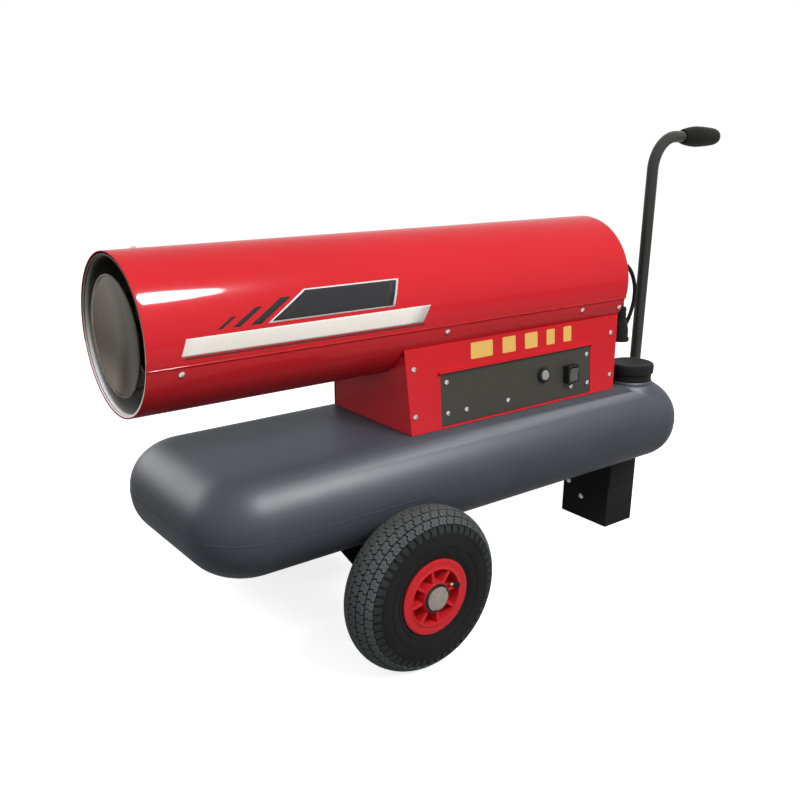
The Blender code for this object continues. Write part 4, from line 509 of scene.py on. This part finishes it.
def dress_nodes():
    for key, names in NODE_MATERIALS.items():
        for name in names.split():
            node = NODES[name]
            node.data.materials.clear()
            node.data.materials.append(M[key])


def bevel(piece, width, segments, sharp):
    modifier = piece.modifiers.new("soft_edges", 'BEVEL')
    modifier.width = width
    modifier.segments = segments
    modifier.limit_method = 'ANGLE'
    modifier.angle_limit = math.radians(sharp)


def soften(names, width, segments=2):
    """Rounds the crisp edges of CAD nodes a little, so that they catch the light."""
    for name in names.split():
        bevel(NODES[name], width, segments, 40)


# Section: mesh helpers

def dress(mesh, materials, smooth=35):
    """Smooth shading with sharp edges, and materials by their keys."""
    mesh.shade_smooth()
    mesh.set_sharp_from_angle(angle=math.radians(smooth))
    mesh.materials.clear()
    for key in materials:
        mesh.materials.append(M[key])


def add_piece(name, bm, material, body="heater", smooth=35, node=None):
    """A new piece on a body, with its material, standing for the CAD node that it hides."""
    mesh = to_mesh(name, bm)
    dress(mesh, [material], smooth)
    piece = put(name, mesh)
    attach(piece, body)
    if node:
        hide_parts(node)
    return piece


def copy_piece(name, source, matrix):
    piece = put(name, source)
    piece.matrix_world = matrix
    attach(piece, "heater")


def lathe(profile, steps, axis="X"):
    """Turns (along, radius) points once round an axis through the origin."""
    bm = bmesh.new()
    place = {"X": lambda a, r: (a, 0, r), "Y": lambda a, r: (0, a, r), "Z": lambda a, r: (r, 0, a)}
    ways = {"X": (1, 0, 0), "Y": (0, 1, 0), "Z": (0, 0, 1)}
    verts = [bm.verts.new(place[axis](along, radius)) for along, radius in profile]
    pairs = list(zip(verts, verts[1:]))
    if profile[0][1] > 0 or profile[-1][1] > 0:
        pairs.append((verts[-1], verts[0]))
    edges = [bm.edges.new(pair) for pair in pairs]
    bmesh.ops.spin(bm, geom=verts + edges, cent=(0, 0, 0), axis=ways[axis],
                   angle=2 * math.pi, steps=steps, use_merge=True)
    bmesh.ops.remove_doubles(bm, verts=bm.verts, dist=0.00001)
    outward(bm)
    return bm


def smooth_line(points, parts):
    """A denser list of points on a smooth curve through the given ones."""
    knots = [Vector(point) for point in points]
    dense = []
    for index in range(len(knots) - 1):
        before = knots[max(index - 1, 0)]
        start, end = knots[index], knots[index + 1]
        after = knots[min(index + 2, len(knots) - 1)]
        for part in range(parts):
            t = part / parts
            dense.append(0.5 * (2 * start + (end - before) * t
                                + (2 * before - 5 * start + 4 * end - after) * t ** 2
                                + (3 * start - before - 3 * end + after) * t ** 3))
    dense.append(knots[-1])
    return dense


def outward(bm):
    bmesh.ops.recalc_face_normals(bm, faces=bm.faces)


def move(bm, matrix):
    bmesh.ops.transform(bm, matrix=matrix, verts=bm.verts)


def merge(bm, extra):
    """Adds the shapes of extra to bm, and frees extra."""
    scratch = to_mesh("scratch", extra)
    bm.from_mesh(scratch)
    bpy.data.meshes.remove(scratch)


def band(bm, low, high):
    """Joins two closed rings of vertices with faces."""
    count = len(low)
    for index in range(count):
        after = (index + 1) % count
        bm.faces.new([low[index], low[after], high[after], high[index]])


def strip(bm, near, far):
    """Joins two open rows of vertices with faces."""
    for index in range(len(near) - 1):
        bm.faces.new([near[index], far[index], far[index + 1], near[index + 1]])


def slab(bm, corners_low, corners_high):
    """Adds a closed block between a lower and an upper ring of like corners."""
    low = [bm.verts.new(p) for p in corners_low]
    high = [bm.verts.new(p) for p in corners_high]
    bm.faces.new(list(reversed(low)))
    bm.faces.new(high)
    band(bm, low, high)


def cutter_piece(name, bm, place=(0, 0, 0)):
    """A scratch object for a Boolean."""
    outward(bm)
    piece = put(name, to_mesh(name, bm))
    piece.location = place
    piece.hide_render = True
    return piece


def carved(piece, cutters, use_self=False):
    """The piece's mesh after a Boolean with each (operation, cutter), which removes the cutters."""
    for operation, cutter in cutters:
        modifier = piece.modifiers.new(operation.lower(), 'BOOLEAN')
        modifier.operation = operation
        modifier.solver = 'EXACT'
        modifier.use_self = use_self
        modifier.object = cutter
    bpy.context.view_layer.update()
    result = bpy.data.meshes.new_from_object(
        piece.evaluated_get(bpy.context.evaluated_depsgraph_get()))
    piece.modifiers.clear()
    for _, cutter in cutters:
        bpy.data.objects.remove(cutter)
    return result


def rod(name, points, radius, resolution, material, node):
    """A round bar or cord along points, as a curve of one open spline."""
    data = bpy.data.curves.new(name, 'CURVE')
    data.dimensions = '3D'
    data.bevel_depth = radius
    data.bevel_resolution = resolution
    data.use_fill_caps = True
    spline = data.splines.new('POLY')
    spline.points.add(len(points) - 1)
    for target, point in zip(spline.points, points):
        target.co = (*point, 1)
    data.materials.append(M[material])
    piece = put(name, data)
    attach(piece, "heater")
    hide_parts(node)
    return piece


# Section: films on the tube and the panel

FILM_THICKNESS = 0.00012
TAGS = ((0.546, 0.594), (0.616, 0.646), (0.668, 0.698), (0.720, 0.740), (0.762, 0.782))
TAG_LOW, TAG_HIGH = 0.1045, 0.1310


def spread(start, end, parts):
    """Even points on a straight run between two (station, degrees) corners."""
    return [(start[0] + (end[0] - start[0]) * i / parts, start[1] + (end[1] - start[1]) * i / parts)
            for i in range(parts + 1)]


def tube_film(name, outline, material, lift):
    """A thin film on the tube. The outline is (station, degrees) corners of a band,
    lower edge first, upper edge back; both edges have the same number of points."""
    half = len(outline) // 2
    bm = bmesh.new()
    rows = [[bm.verts.new(on_tube(x, degrees, TUBE_RADIUS + lift)) for x, degrees in spread(low, high, 10)]
            for low, high in zip(outline[:half], reversed(outline[half:]))]
    for near, far in zip(rows, rows[1:]):
        strip(bm, near, far)
    outward(bm)
    face = bm.faces[:][0]
    middle = face.calc_center_median()
    if face.normal.dot(middle - at(middle.x - SHIFT, 0, TUBE_Z)) < 0:
        bmesh.ops.reverse_faces(bm, faces=bm.faces)
    solid = add_piece(name, bm, material).modifiers.new("film", 'SOLIDIFY')
    solid.thickness = FILM_THICKNESS
    solid.offset = -1


def make_films():
    """A plain silver band with a thin dark line below it, and a dark slanted block with a
    pale edge, which three slanted stripes lead up to."""
    films = (
        ("band_film", ((0.046, -6.2), (0.436, -7.0), (0.451, 6.2), (0.054, 5.4)), 12, "silver", 0.00030),
        ("band_line", ((0.052, -8.2), (0.440, -9.0), (0.441, -8.0), (0.052, -7.4)), 12, "film_dark", 0.00030),
        ("block_edge", ((0.172, 8.6), (0.383, 8.6), (0.399, 29.2), (0.236, 29.2)), 10, "film_light", 0.00026),
        ("block_film", ((0.178, 9.6), (0.380, 9.6), (0.394, 28.2), (0.238, 28.2)), 10, "film_dark", 0.00042))
    for name, corners, parts, material, lift in films:
        tube_film(name, spread(*corners[:2], parts) + spread(*corners[2:], parts), material, lift)
    foot, rise = 9.0, 0.060 / 18.6
    stripes = ((0.146, 0.016, 25.0), (0.120, 0.011, 20.5), (0.098, 0.007, 16.0))
    for index, (x, width, top) in enumerate(stripes):
        lean = (top - foot) * rise
        corners = [(x, foot), (x + width, foot), (x + width + lean, top), (x + lean, top)]
        tube_film("stripe_%d" % index, corners, "film_dark", 0.00030)


def rounded_rect(x0, x1, w0, w1, radius):
    points, steps = [], 4
    for cx, cw, start in ((x1 - radius, w1 - radius, 0), (x0 + radius, w1 - radius, 90),
                          (x0 + radius, w0 + radius, 180), (x1 - radius, w0 + radius, 270)):
        for step in range(steps + 1):
            angle = math.radians(start + 90 * step / steps)
            points.append((cx + radius * math.cos(angle), cw + radius * math.sin(angle)))
    return points


def make_tags():
    """Plain yellow films on the near side panel, with nothing printed on them."""
    for index, (x0, x1) in enumerate(TAGS):
        bm = bmesh.new()
        outline = rounded_rect(x0, x1, TAG_LOW, TAG_HIGH, 0.0022)
        slab(bm, *[[on_panel(x, w, out) for x, w in outline] for out in (0.00015, 0.00030)])
        outward(bm)
        add_piece("tag_%d" % index, bm, "film_yellow")


# Section: screws

def screw_mesh():
    """A pan head with a cross recess, seated at the origin and pointing along +X."""
    radius, height = 0.0046, 0.0028
    long, slim = 0.0025, 0.0005
    profile = [(-0.0003, 0), (-0.0003, radius), (height * 0.25, radius), (height * 0.62, radius * 0.86),
               (height * 0.88, radius * 0.55), (height, radius * 0.22), (height, 0)]
    head = put("pan_head", to_mesh("pan_head", lathe(profile, 28)))
    cross = bmesh.new()
    for half_y, half_z in ((long, slim), (slim, long)):
        slab(cross, *[[(level, y * half_y, z * half_z) for y, z in ((-1, -1), (1, -1), (1, 1), (-1, 1))]
                      for level in (height * 0.35, height * 1.5)])
    result = carved(head, [('DIFFERENCE', cutter_piece("cross", cross))], True)
    result.name = "screw_head"
    bpy.data.objects.remove(head)
    dress(result, ["zinc"])
    return result


def hex_mesh():
    """A flanged hexagon head pointing along +X."""
    bm = lathe([(-0.0002, 0), (-0.0002, 0.0078), (0.0012, 0.0078), (0.0016, 0.0062), (0.0016, 0)], 28)
    merge(bm, lathe([(0.0012, 0), (0.0012, 0.0062), (0.0048, 0.0062), (0.0054, 0.0052), (0.0054, 0)], 6))
    mesh = to_mesh("hex_head", bm)
    dress(mesh, ["zinc"])
    return mesh


def facing(place, way, spin):
    """Seats a head at place, pointing along way, turned by spin."""
    turn = Vector((1, 0, 0)).rotation_difference(Vector(way)).to_matrix().to_4x4()
    return Matrix.Translation(place) @ turn @ Matrix.Rotation(spin, 4, 'X')


def make_screws():
    # On the jacket: two along each seam, one pair lower down at the rear, and three round the outlet.
    round_tube = [(x, degrees, LOWER_RADIUS) for x, drop in ((0.4910, 18.8), (0.8005, 18.8), (0.9020, 22.2))
                  for degrees in (-drop, 180 + drop)]
    round_tube += [(0.048, -18.8, LOWER_RADIUS), (0.048, 101.2, TUBE_RADIUS), (0.048, 221.2, LOWER_RADIUS)]
    places = [(on_tube(x, degrees, radius), on_tube(x, degrees, 1) - at(x, 0, TUBE_Z))
              for x, degrees, radius in round_tube]
    # At the corners of both side panels, and on the control plate.
    for side in (-1, 1):
        way = on_panel(0, 0, 1, side) - on_panel(0, 0, 0, side)
        for x, w in ((0.428, 0.105), (0.428, 0.0293), (0.8873, 0.1057), (0.8861, 0.0278)):
            places.append((on_panel(x, w, 0.0, side), way))
    way = on_panel(0, 0, 1) - on_panel(0, 0, 0)
    for x, w in ((0.4933, 0.0749), (0.4947, 0.0239), (0.5341, 0.0235), (0.6274, 0.0228),
                 (0.7823, 0.0216), (0.8252, 0.0222), (0.8229, 0.0748)):
        places.append((on_panel(x, w, -0.0006), way))
    head = screw_mesh()
    for index, (place, way) in enumerate(places):
        copy_piece("screw_%02d" % index, head, facing(place, way, index * 0.7))

    # Bolts of the axle brackets, the handle's socket and the foot.
    hexagon = hex_mesh()
    bolts = []
    shelf = TANK_TOP - TANK_HEIGHT - 0.0034
    for side in (-1, 1):
        for end in (-1, 1):
            bolts.append((at(WHEEL_X + end * 0.048, side * 0.082, shelf), (0, 0, -1)))
        bolts.append((at(TANK_REAR + 0.0035, side * 0.022, TANK_MID), (1, 0, 0)))
        for z in (0.118, 0.062):
            bolts.append((at(1.0545, side * 0.030, z), (1, 0, 0)))
    for index, (place, way) in enumerate(bolts):
        copy_piece("bolt_%02d" % index, hexagon, facing(place, way, 0.3 + index))


# Section: tank

def plan_ring(inset, steps):
    """The tank's plan, drawn in by inset, as points anticlockwise from above."""
    points = []
    for end, reach_x, reach_y, edge in ((1, 0.1030, 0.1650, TANK_REAR), (-1, 0.0930, 0.0930, TANK_FRONT)):
        station = edge - end * inset
        ax, ay = reach_x - inset, reach_y - inset
        for side in (1, -1):
            for step in range(steps + 1):
                share = step / steps
                angle = (1 - share if side > 0 else share) * math.pi / 2
                x = station - end * ax * (1 - math.cos(angle))
                y = side * (TANK_HALF - inset - ay + ay * math.sin(angle))
                points.append((x, y * end))
    return points


def make_tank():
    corner_steps, edge_steps = 18, 14
    straight = TANK_HEIGHT / 2 - TANK_EDGE
    bm = bmesh.new()
    rings = []
    for side, reach in ((-1, TANK_EDGE), (1, TANK_SHOULDER)):
        for step in range(edge_steps + 1):
            angle = math.pi / 2 * (step / edge_steps if side > 0 else step / edge_steps - 1)
            inset = reach * (1 - math.cos(angle))
            level = TANK_MID + side * straight + TANK_EDGE * math.sin(angle)
            rings.append([bm.verts.new(at(x, y, level)) for x, y in plan_ring(inset, corner_steps)])
    for low, high in zip(rings, rings[1:]):
        band(bm, low, high)
    bm.faces.new(list(reversed(rings[0])))
    bm.faces.new(rings[-1])
    outward(bm)
    tank = add_piece("tank_body", bm, "tank", smooth=30)

    # A lug and a tongue under the rear, a low rise that carries the filler neck, and its bore.
    cutters = []
    for name, rear, half, bottom, top in (("tank_lug", 1.050, 0.0600, 0.086, 0.205),
                                          ("tank_tongue", 1.047, 0.0567, 0.030, 0.090)):
        plan = ((LUG_FRONT, -half), (rear, -half), (rear, half), (LUG_FRONT, half))
        block = bmesh.new()
        slab(block, *[[at(x, y, z) for x, y in plan] for z in (bottom, top)])
        cutters.append(('UNION', cutter_piece(name, block)))
    rise = [(0.2860, 0), (0.2860, 0.0620), (0.3020, 0.0560), (0.3120, 0.0500), (0.3185, 0.0450),
            (0.3220, 0.0405), (0.3220, 0)]
    bore = [(0.275, 0), (0.275, 0.029), (0.36, 0.029), (0.36, 0)]
    centre = at(CAP_X, CAP_Y, 0)
    cutters.append(('UNION', cutter_piece("tank_neck", lathe(rise, 64, "Z"), centre)))
    cutters.append(('DIFFERENCE', cutter_piece("tank_bore", lathe(bore, 48, "Z"), centre)))
    result = carved(tank, cutters)
    tank.data = result
    result.name = "tank_body"
    dress(result, ["tank", "cap"], 38)
    for polygon in result.polygons:
        x, y, z = polygon.center
        flat = max(abs(polygon.normal.x), abs(polygon.normal.y)) > 0.999
        if x > LUG_FRONT - 0.001 + SHIFT and abs(y) < 0.0605 and (z < 0.172 or flat and z < 0.206):
            polygon.material_index = 1
    bevel(tank, 0.0022, 3, 55)
    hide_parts("fuel_tank")

    # Parting line of the mould, a fine raised bead round the middle.
    line = bmesh.new()
    ring = plan_ring(0, corner_steps)
    bead = ((-0.0006, -0.0013), (0.0007, -0.0004), (0.0007, 0.0004), (-0.0006, 0.0013))
    rows = [[line.verts.new(at(x + nx * out, y + ny * out, TANK_MID + up)) for out, up in bead]
            for (x, y), (nx, ny) in zip(ring, ring_normals(ring))]
    for near, far in zip(rows, rows[1:] + rows[:1]):
        strip(line, near, far)
    outward(line)
    add_piece("tank_parting_line", line, "tank")


def ring_normals(ring):
    """The way out of a plan ring at each of its points."""
    normals = []
    for index, place in enumerate(ring):
        before, after = ring[index - 1], ring[(index + 1) % len(ring)]
        if (Vector(after) - Vector(before)).length < 1e-6:
            before = ring[index - 2]
        way = Vector((after[1] - before[1], before[0] - after[0])).normalized()
        if way.dot(Vector(place) - Vector((0.56, 0))) < 0:
            way = -way
        normals.append((way.x, way.y))
    return normals


# Section: tyres

def wheel_place(side):
    return Matrix.Translation(WHEEL + Vector((0, -WHEEL_OFFSET if side == "left" else WHEEL_OFFSET, 0)))


def wheel_face(side):
    """As wheel_place, turned so that the outer face points away from the tank."""
    place = wheel_place(side)
    return place if side == "left" else place @ Matrix.Rotation(math.pi, 4, 'Z')


def tyre_outline():
    """Outer half section of the carcass, from the crown to the bead."""
    points = []
    for step in range(19):
        angle = math.radians(5 * step)
        points.append((0.0386 * math.sin(angle), 0.0892 + 0.0383 * math.cos(angle)))
    return points + [(0.0384, 0.0830), (0.0376, 0.0765), (0.0362, 0.0700), (0.0340, 0.0638)]


def make_tyre(side):
    """Carcass with mould lines, six rows of tread blocks in pairs, and lugs on both shoulders."""
    place, body = wheel_place(side), "wheel_%s" % side
    half = tyre_outline()
    bead = [(0.0326, 0.0600), (0.0326, 0.0512)]
    profile = half + bead + [(-y, r) for y, r in reversed(bead)] + [(-y, r) for y, r in reversed(half[1:])]
    bm = lathe(profile, 96, "Y")
    for y, r in ((0.0378, 0.0968), (0.0382, 0.0800), (0.0354, 0.0668)):
        for face in (-1, 1):
            merge(bm, lathe([(face * (y - 0.0016), r - 0.0008), (face * (y + 0.0005), r - 0.0003),
                             (face * (y + 0.0005), r + 0.0003), (face * (y - 0.0016), r + 0.0008)], 96, "Y"))
    outward(bm)
    move(bm, place)
    add_piece("carcass_%s" % side, bm, "tyre", body, node="tyre_%s" % side)

    crown = [Vector((y, r)) for y, r in half]

    def section(s):
        """Point and outward way on the carcass at an arc length from the crown."""
        sign = -1 if s < 0 else 1
        left = abs(s)
        for a, b in zip(crown, crown[1:]):
            step = (b - a).length
            if left <= step:
                point = a.lerp(b, left / step)
                way = (b - a).normalized()
                return Vector((sign * point.x, point.y)), Vector((sign * -way.y, way.x))
            left -= step
        raise ValueError("past the bead")

    def block(corners, depth):
        """A block over (arc length, angle, share of the depth) corners."""
        low, high = [], []
        for s, angle, share in corners:
            point, way = section(s)
            for ring, lift in ((low, -0.0012), (high, depth * share)):
                y, r = point.x + way.x * lift, point.y + way.y * lift
                ring.append((r * math.sin(angle), y, r * math.cos(angle)))
        slab(bm, low, high)

    def add_blocks(name):
        outward(bm)
        move(bm, place)
        add_piece("%s_%s" % (name, side), bm, name, body)

    count = 50
    pitch = 2 * math.pi / count
    bm = bmesh.new()
    w, n, gap = 0.0054, pitch * 0.15, pitch * 0.018
    for index, row in enumerate((-0.0315, -0.0189, -0.0063, 0.0063, 0.0189, 0.0315)):
        for number in range(count):
            middle = (number + (0.5 if index % 2 else 0.0)) * pitch
            for near, far in ((-pitch * 0.42, -gap), (gap, pitch * 0.42)):
                block([(row - w, middle + near, 1), (row - w * 0.3, middle + near - n, 1),
                       (row + w * 0.3, middle + near + n, 1), (row + w, middle + near, 1),
                       (row + w, middle + far, 1), (row + w * 0.3, middle + far + n, 1),
                       (row - w * 0.3, middle + far - n, 1), (row - w, middle + far, 1)], 0.0024)
    add_blocks("tread")

    bm = bmesh.new()
    wide, slim = pitch * 0.37, pitch * 0.22
    for face in (-1, 1):
        for number in range(count):
            middle = (number + 0.5) * pitch
            block([(face * 0.0380, middle - wide, 1), (face * 0.0440, middle - wide * 0.9, 0.9),
                   (face * 0.0495, middle - slim, 0.25), (face * 0.0495, middle + slim, 0.25),
                   (face * 0.0440, middle + wide * 0.9, 0.9),
                   (face * 0.0380, middle + wide, 1)][::face], 0.0018)
    add_blocks("shoulder")


# Section: rims, jacket, outlet, handle and cap

def make_rim(side):
    """Rounded rim with thin spokes over a sunk web, and a dark ring round the hub cap."""
    place, body = wheel_face(side), "wheel_%s" % side
    ring = [(-0.0170, 0.0432), (-0.0348, 0.0432), (-0.0364, 0.0436), (-0.0370, 0.0445), (-0.0366, 0.0455),
            (-0.0359, 0.0466), (-0.0356, 0.0500), (-0.0361, 0.0545), (-0.0364, 0.0575), (-0.0358, 0.0590),
            (-0.0345, 0.0595), (-0.0331, 0.0593), (-0.0331, 0.0508), (0.0331, 0.0508), (0.0331, 0.0593),
            (0.0345, 0.0595), (0.0362, 0.0588), (0.0365, 0.0575), (0.0365, 0.0432)]
    hub = [(-0.0385, 0.0104), (-0.0385, 0.0222), (-0.0378, 0.0233), (-0.0360, 0.0238), (-0.0170, 0.0240),
           (0.0370, 0.0238), (0.0385, 0.0225), (0.0385, 0.0104)]
    bm = lathe(ring, 96, "Y")
    merge(bm, lathe(hub, 64, "Y"))
    inner, outer = 0.0228, 0.0440
    for spoke in range(8):
        angle = math.radians(9 + 45 * spoke)
        along = Vector((math.cos(angle), 0, math.sin(angle)))
        across = Vector((-math.sin(angle), 0, math.cos(angle)))
        rings = [[tuple(along * reach + across * turn * half + Vector((0, level, 0)))
                  for reach, turn in ((inner, -1), (outer, -1), (outer, 1), (inner, 1))]
                 for level, half in ((-0.0352, 0.0018), (-0.0344, 0.0024), (-0.0180, 0.0029))]
        slab(bm, rings[0], rings[1])
        slab(bm, rings[1], rings[2])
    outward(bm)
    move(bm, place)
    add_piece("wheel_rim_%s" % side, bm, "red_plastic", body, 40, "rim_%s" % side)

    web = [(-0.0186, 0.0236), (-0.0178, 0.0300), (-0.0186, 0.0436), (-0.0160, 0.0436), (-0.0160, 0.0236)]
    dark = [(-0.0384, 0.0203), (-0.0396, 0.0206), (-0.0400, 0.0214), (-0.0396, 0.0222), (-0.0384, 0.0226)]
    for name, profile, material, slot in (("wheel_web", web, "web", "rim_red"),
                                          ("hub_ring", dark, "black_plastic", "black_plastic")):
        bm = lathe(profile, 64, "Y")
        move(bm, place)
        add_piece("%s_%s" % (name, side), bm, material, body)


def make_valve(side):
    """Tapered rubber stem with a brass end, leaning towards the hub."""
    place = wheel_face(side) @ Matrix.Translation((0.0410, -0.0352, 0.0080))
    place = place @ Matrix.Rotation(VALVE_LEAN - math.pi, 4, 'Y')
    stem = [(-0.0020, 0), (-0.0020, 0.0046), (0.0010, 0.0047), (0.0070, 0.0037), (0.0088, 0.0035),
            (0.0094, 0.0030), (0.0094, 0)]
    tip = [(0.0090, 0), (0.0090, 0.0023), (0.0112, 0.0023), (0.0114, 0.0027), (0.0148, 0.0027),
           (0.0156, 0.0021), (0.0156, 0)]
    for name, profile, material, slot, node in (
            ("valve_stem", stem, "valve", "valve_rubber", "valve_%s" % side),
            ("valve_tip", tip, "brass", "nozzle_brass", None)):
        bm = lathe(profile, 32)
        move(bm, place)
        add_piece("%s_%s" % (name, side), bm, material, "wheel_%s" % side, node=node)


def shell(name, node, radius, first, last, hem):
    """Half of the jacket as fine sheet, with softened ends and a folded edge along its seams."""
    sheet, steps, ease, skirt = 0.0012, round((last - first) / 1.2), 0.0004, 0.008
    section = [(0.0, radius - sheet / 2), (ease, radius - ease / 2), (3 * ease, radius), (skirt, radius),
               (TUBE_LENGTH - skirt, radius), (TUBE_LENGTH - 3 * ease, radius),
               (TUBE_LENGTH - ease, radius - ease / 2), (TUBE_LENGTH, radius - sheet / 2),
               (TUBE_LENGTH - ease, radius - sheet), (ease, radius - sheet)]
    bm = bmesh.new()
    rows = [[bm.verts.new(on_tube(x, first + (last - first) * step / steps, r)) for x, r in section]
            for step in range(steps + 1)]
    for near, far in zip(rows, rows[1:]):
        band(bm, near, far)
    bm.faces.new(rows[0])
    bm.faces.new(list(reversed(rows[-1])))
    fold, end = 0.0010, 0.0006
    for degrees in (first, last) if hem else ():
        out = (on_tube(0, degrees, 1) - on_tube(0, degrees, 0)).normalized()
        side = out.cross(Vector((1, 0, 0)))
        ring = [out * (fold * math.cos(math.tau * k / 10)) + side * (fold * math.sin(math.tau * k / 10))
                for k in range(10)]
        slab(bm, *[[on_tube(x, degrees, radius - 0.0004) + v for v in ring]
                   for x in (end, TUBE_LENGTH - end)])
    outward(bm)
    add_piece(name, bm, "red", node=node)


def round_piece(name, profile, material, node):
    """A turned piece on the tube's axis, which stands for a CAD node."""
    bm = lathe(profile, 128)
    bmesh.ops.translate(bm, verts=bm.verts, vec=at(0, 0, TUBE_Z))
    add_piece(name, bm, material, node=node)


def arc(centre, radius, first, last, steps):
    angles = [math.radians(first + (last - first) * k / steps) for k in range(steps + 1)]
    return [(centre[0] + radius * math.cos(a), centre[1] + radius * math.sin(a)) for a in angles]


def make_outlet():
    """Heat shield with a rolled front edge, and the dished disc with its bead."""
    liner = ([(0.4695, 0.1040), (0.0150, 0.1040), (0.0080, 0.1040), (0.0046, 0.1050), (0.0034, 0.1060)]
             + arc((0.0022, 0.1074), 0.0016, -50, -270, 12)
             + [(0.0060, 0.1088), (0.0110, 0.1050), (0.4695, 0.1050)])
    round_piece("outlet_shield", liner, "liner", "outlet_liner")
    dish, rim, sheet = 0.014, 0.0787, 0.0014
    front = [(0.004 + dish * (1 - (r / 0.082) ** 2), r) for r in [rim * k / 16 for k in range(17)]]
    bead = arc((0.0044, 0.0806), 0.0018, 215, 20, 10)
    back = [(x + sheet, r) for x, r in reversed(front)]
    round_piece("outlet_disc", front + bead + [(0.0062, 0.0790)] + back, "disc", "flame_disc")


def make_handle():
    """Bent tube with a waisted grip."""
    bend = 0.062
    curve = arc((POLE_X + bend, GRIP_Z - bend), bend, 180, 90, 20)
    points = [at(POLE_X, 0, 0.034), at(POLE_X, 0, 0.30), at(POLE_X, 0, 0.55)]
    points += [at(x, 0, z) for x, z in curve] + [at(1.274, 0, GRIP_Z)]
    rod("pull_pole", points, POLE_RADIUS, 8, "pole", "handle_pole")

    start, length = POLE_X + 0.0845, 0.1140
    shape = [(0, 0.0118, 0), (0, 0.0138, 0), (0.10, 0.0164, 0), (0.22, 0.0184, 0), (0.34, 0.0196, 0),
             (0.46, 0.0196, 0), (0.60, 0.0188, 0), (0.74, 0.0177, 0), (0.86, 0.0162, 0), (0.94, 0.0134, 0),
             (0.985, 0.0088, 0), (1, 0.0, 0)]
    bm = lathe([(start + length * min(p.x, 1), max(p.y, 0)) for p in smooth_line(shape, 4)], 48)
    bmesh.ops.translate(bm, verts=bm.verts, vec=at(0, 0, GRIP_Z))
    add_piece("pull_grip", bm, "grip", node="handle_grip")


def make_cap():
    """Screw cap with a softened edge, the neck that it closes, and the dark ring under it."""
    cap = [(0.3587, 0), (0.3587, 0.0330), (0.3590, 0.0350), (0.3590, 0.0385), (0.3585, 0.0402),
           (0.3572, 0.0413), (0.3552, 0.0418), (0.3424, 0.0418), (0.3414, 0.0414), (0.3410, 0.0404),
           (0.3410, 0.0362), (0.3545, 0.0362), (0.3545, 0)]
    neck = [(0.3223, 0.0290), (0.3223, 0.0405), (0.3236, 0.0408), (0.3258, 0.0400), (0.3275, 0.0378),
            (0.3295, 0.0362), (0.3325, 0.0355), (0.3514, 0.0355), (0.3514, 0.0290)]
    ring = [(0.3262, 0.0352), (0.3262, 0.0376), (0.3270, 0.0385), (0.3398, 0.0385), (0.3406, 0.0379),
            (0.3406, 0.0352)]
    for name, profile, material, body, slot, node in (
            ("screw_cap", cap, "cap", "cap", "black_plastic", "filler_cap"),
            ("tank_collar", neck, "tank", "heater", "tank_plastic", "filler_neck"),
            ("neck_ring", ring, "cap", "heater", "black_plastic", None)):
        bm = lathe(profile, 96, "Z")
        bmesh.ops.translate(bm, verts=bm.verts, vec=at(CAP_X, CAP_Y, 0))
        add_piece(name, bm, material, body, node=node)


# Section: lead

CORD_POINTS = (
    (0.9325, -0.0500, 0.3926), (0.9445, -0.0500, 0.3917), (0.9580, -0.0500, 0.3925),
    (0.9715, -0.0495, 0.3980), (0.9840, -0.0490, 0.4090), (0.9955, -0.0500, 0.4260),
    (1.0035, -0.0515, 0.4475), (1.0065, -0.0530, 0.4700), (1.0030, -0.0550, 0.4920),
    (0.9920, -0.0580, 0.5120), (0.9760, -0.0620, 0.5285), (0.9570, -0.0670, 0.5385),
    (0.9390, -0.0735, 0.5375), (0.9255, -0.0805, 0.5260), (0.9200, -0.0860, 0.5080),
    (0.9225, -0.0890, 0.4910), (0.9260, -0.0895, 0.4780), (0.9260, -0.0895, 0.4683),
)


def make_lead():
    line = smooth_line([at(*point) for point in CORD_POINTS], 5)
    lead = rod("mains_lead", line, 0.0038, 4, "rubber", "mains_cord")


make_camera()
make_world()
make_materials()
make_lead()
make_floor()
dress_nodes()
soften("side_panel_left side_panel_right box_front_wall box_rear_wall", 0.0004, 1)
soften("switch_housing switch_rocker control_plate", 0.0006)
soften("foot_bracket handle_socket handle_clamp", 0.0008)
make_films()
make_tags()
make_screws()
make_tank()
shell("hood_upper", "jacket_upper", TUBE_RADIUS, -13, 193, True)
shell("hood_lower", "jacket_lower", LOWER_RADIUS, 188, 352, False)
make_outlet()
make_handle()
make_cap()
for wheel_side in ("left", "right"):
    make_tyre(wheel_side)
    make_rim(wheel_side)
    make_valve(wheel_side)
make_lamps()

bpy.context.scene.view_settings.view_transform = 'Standard'
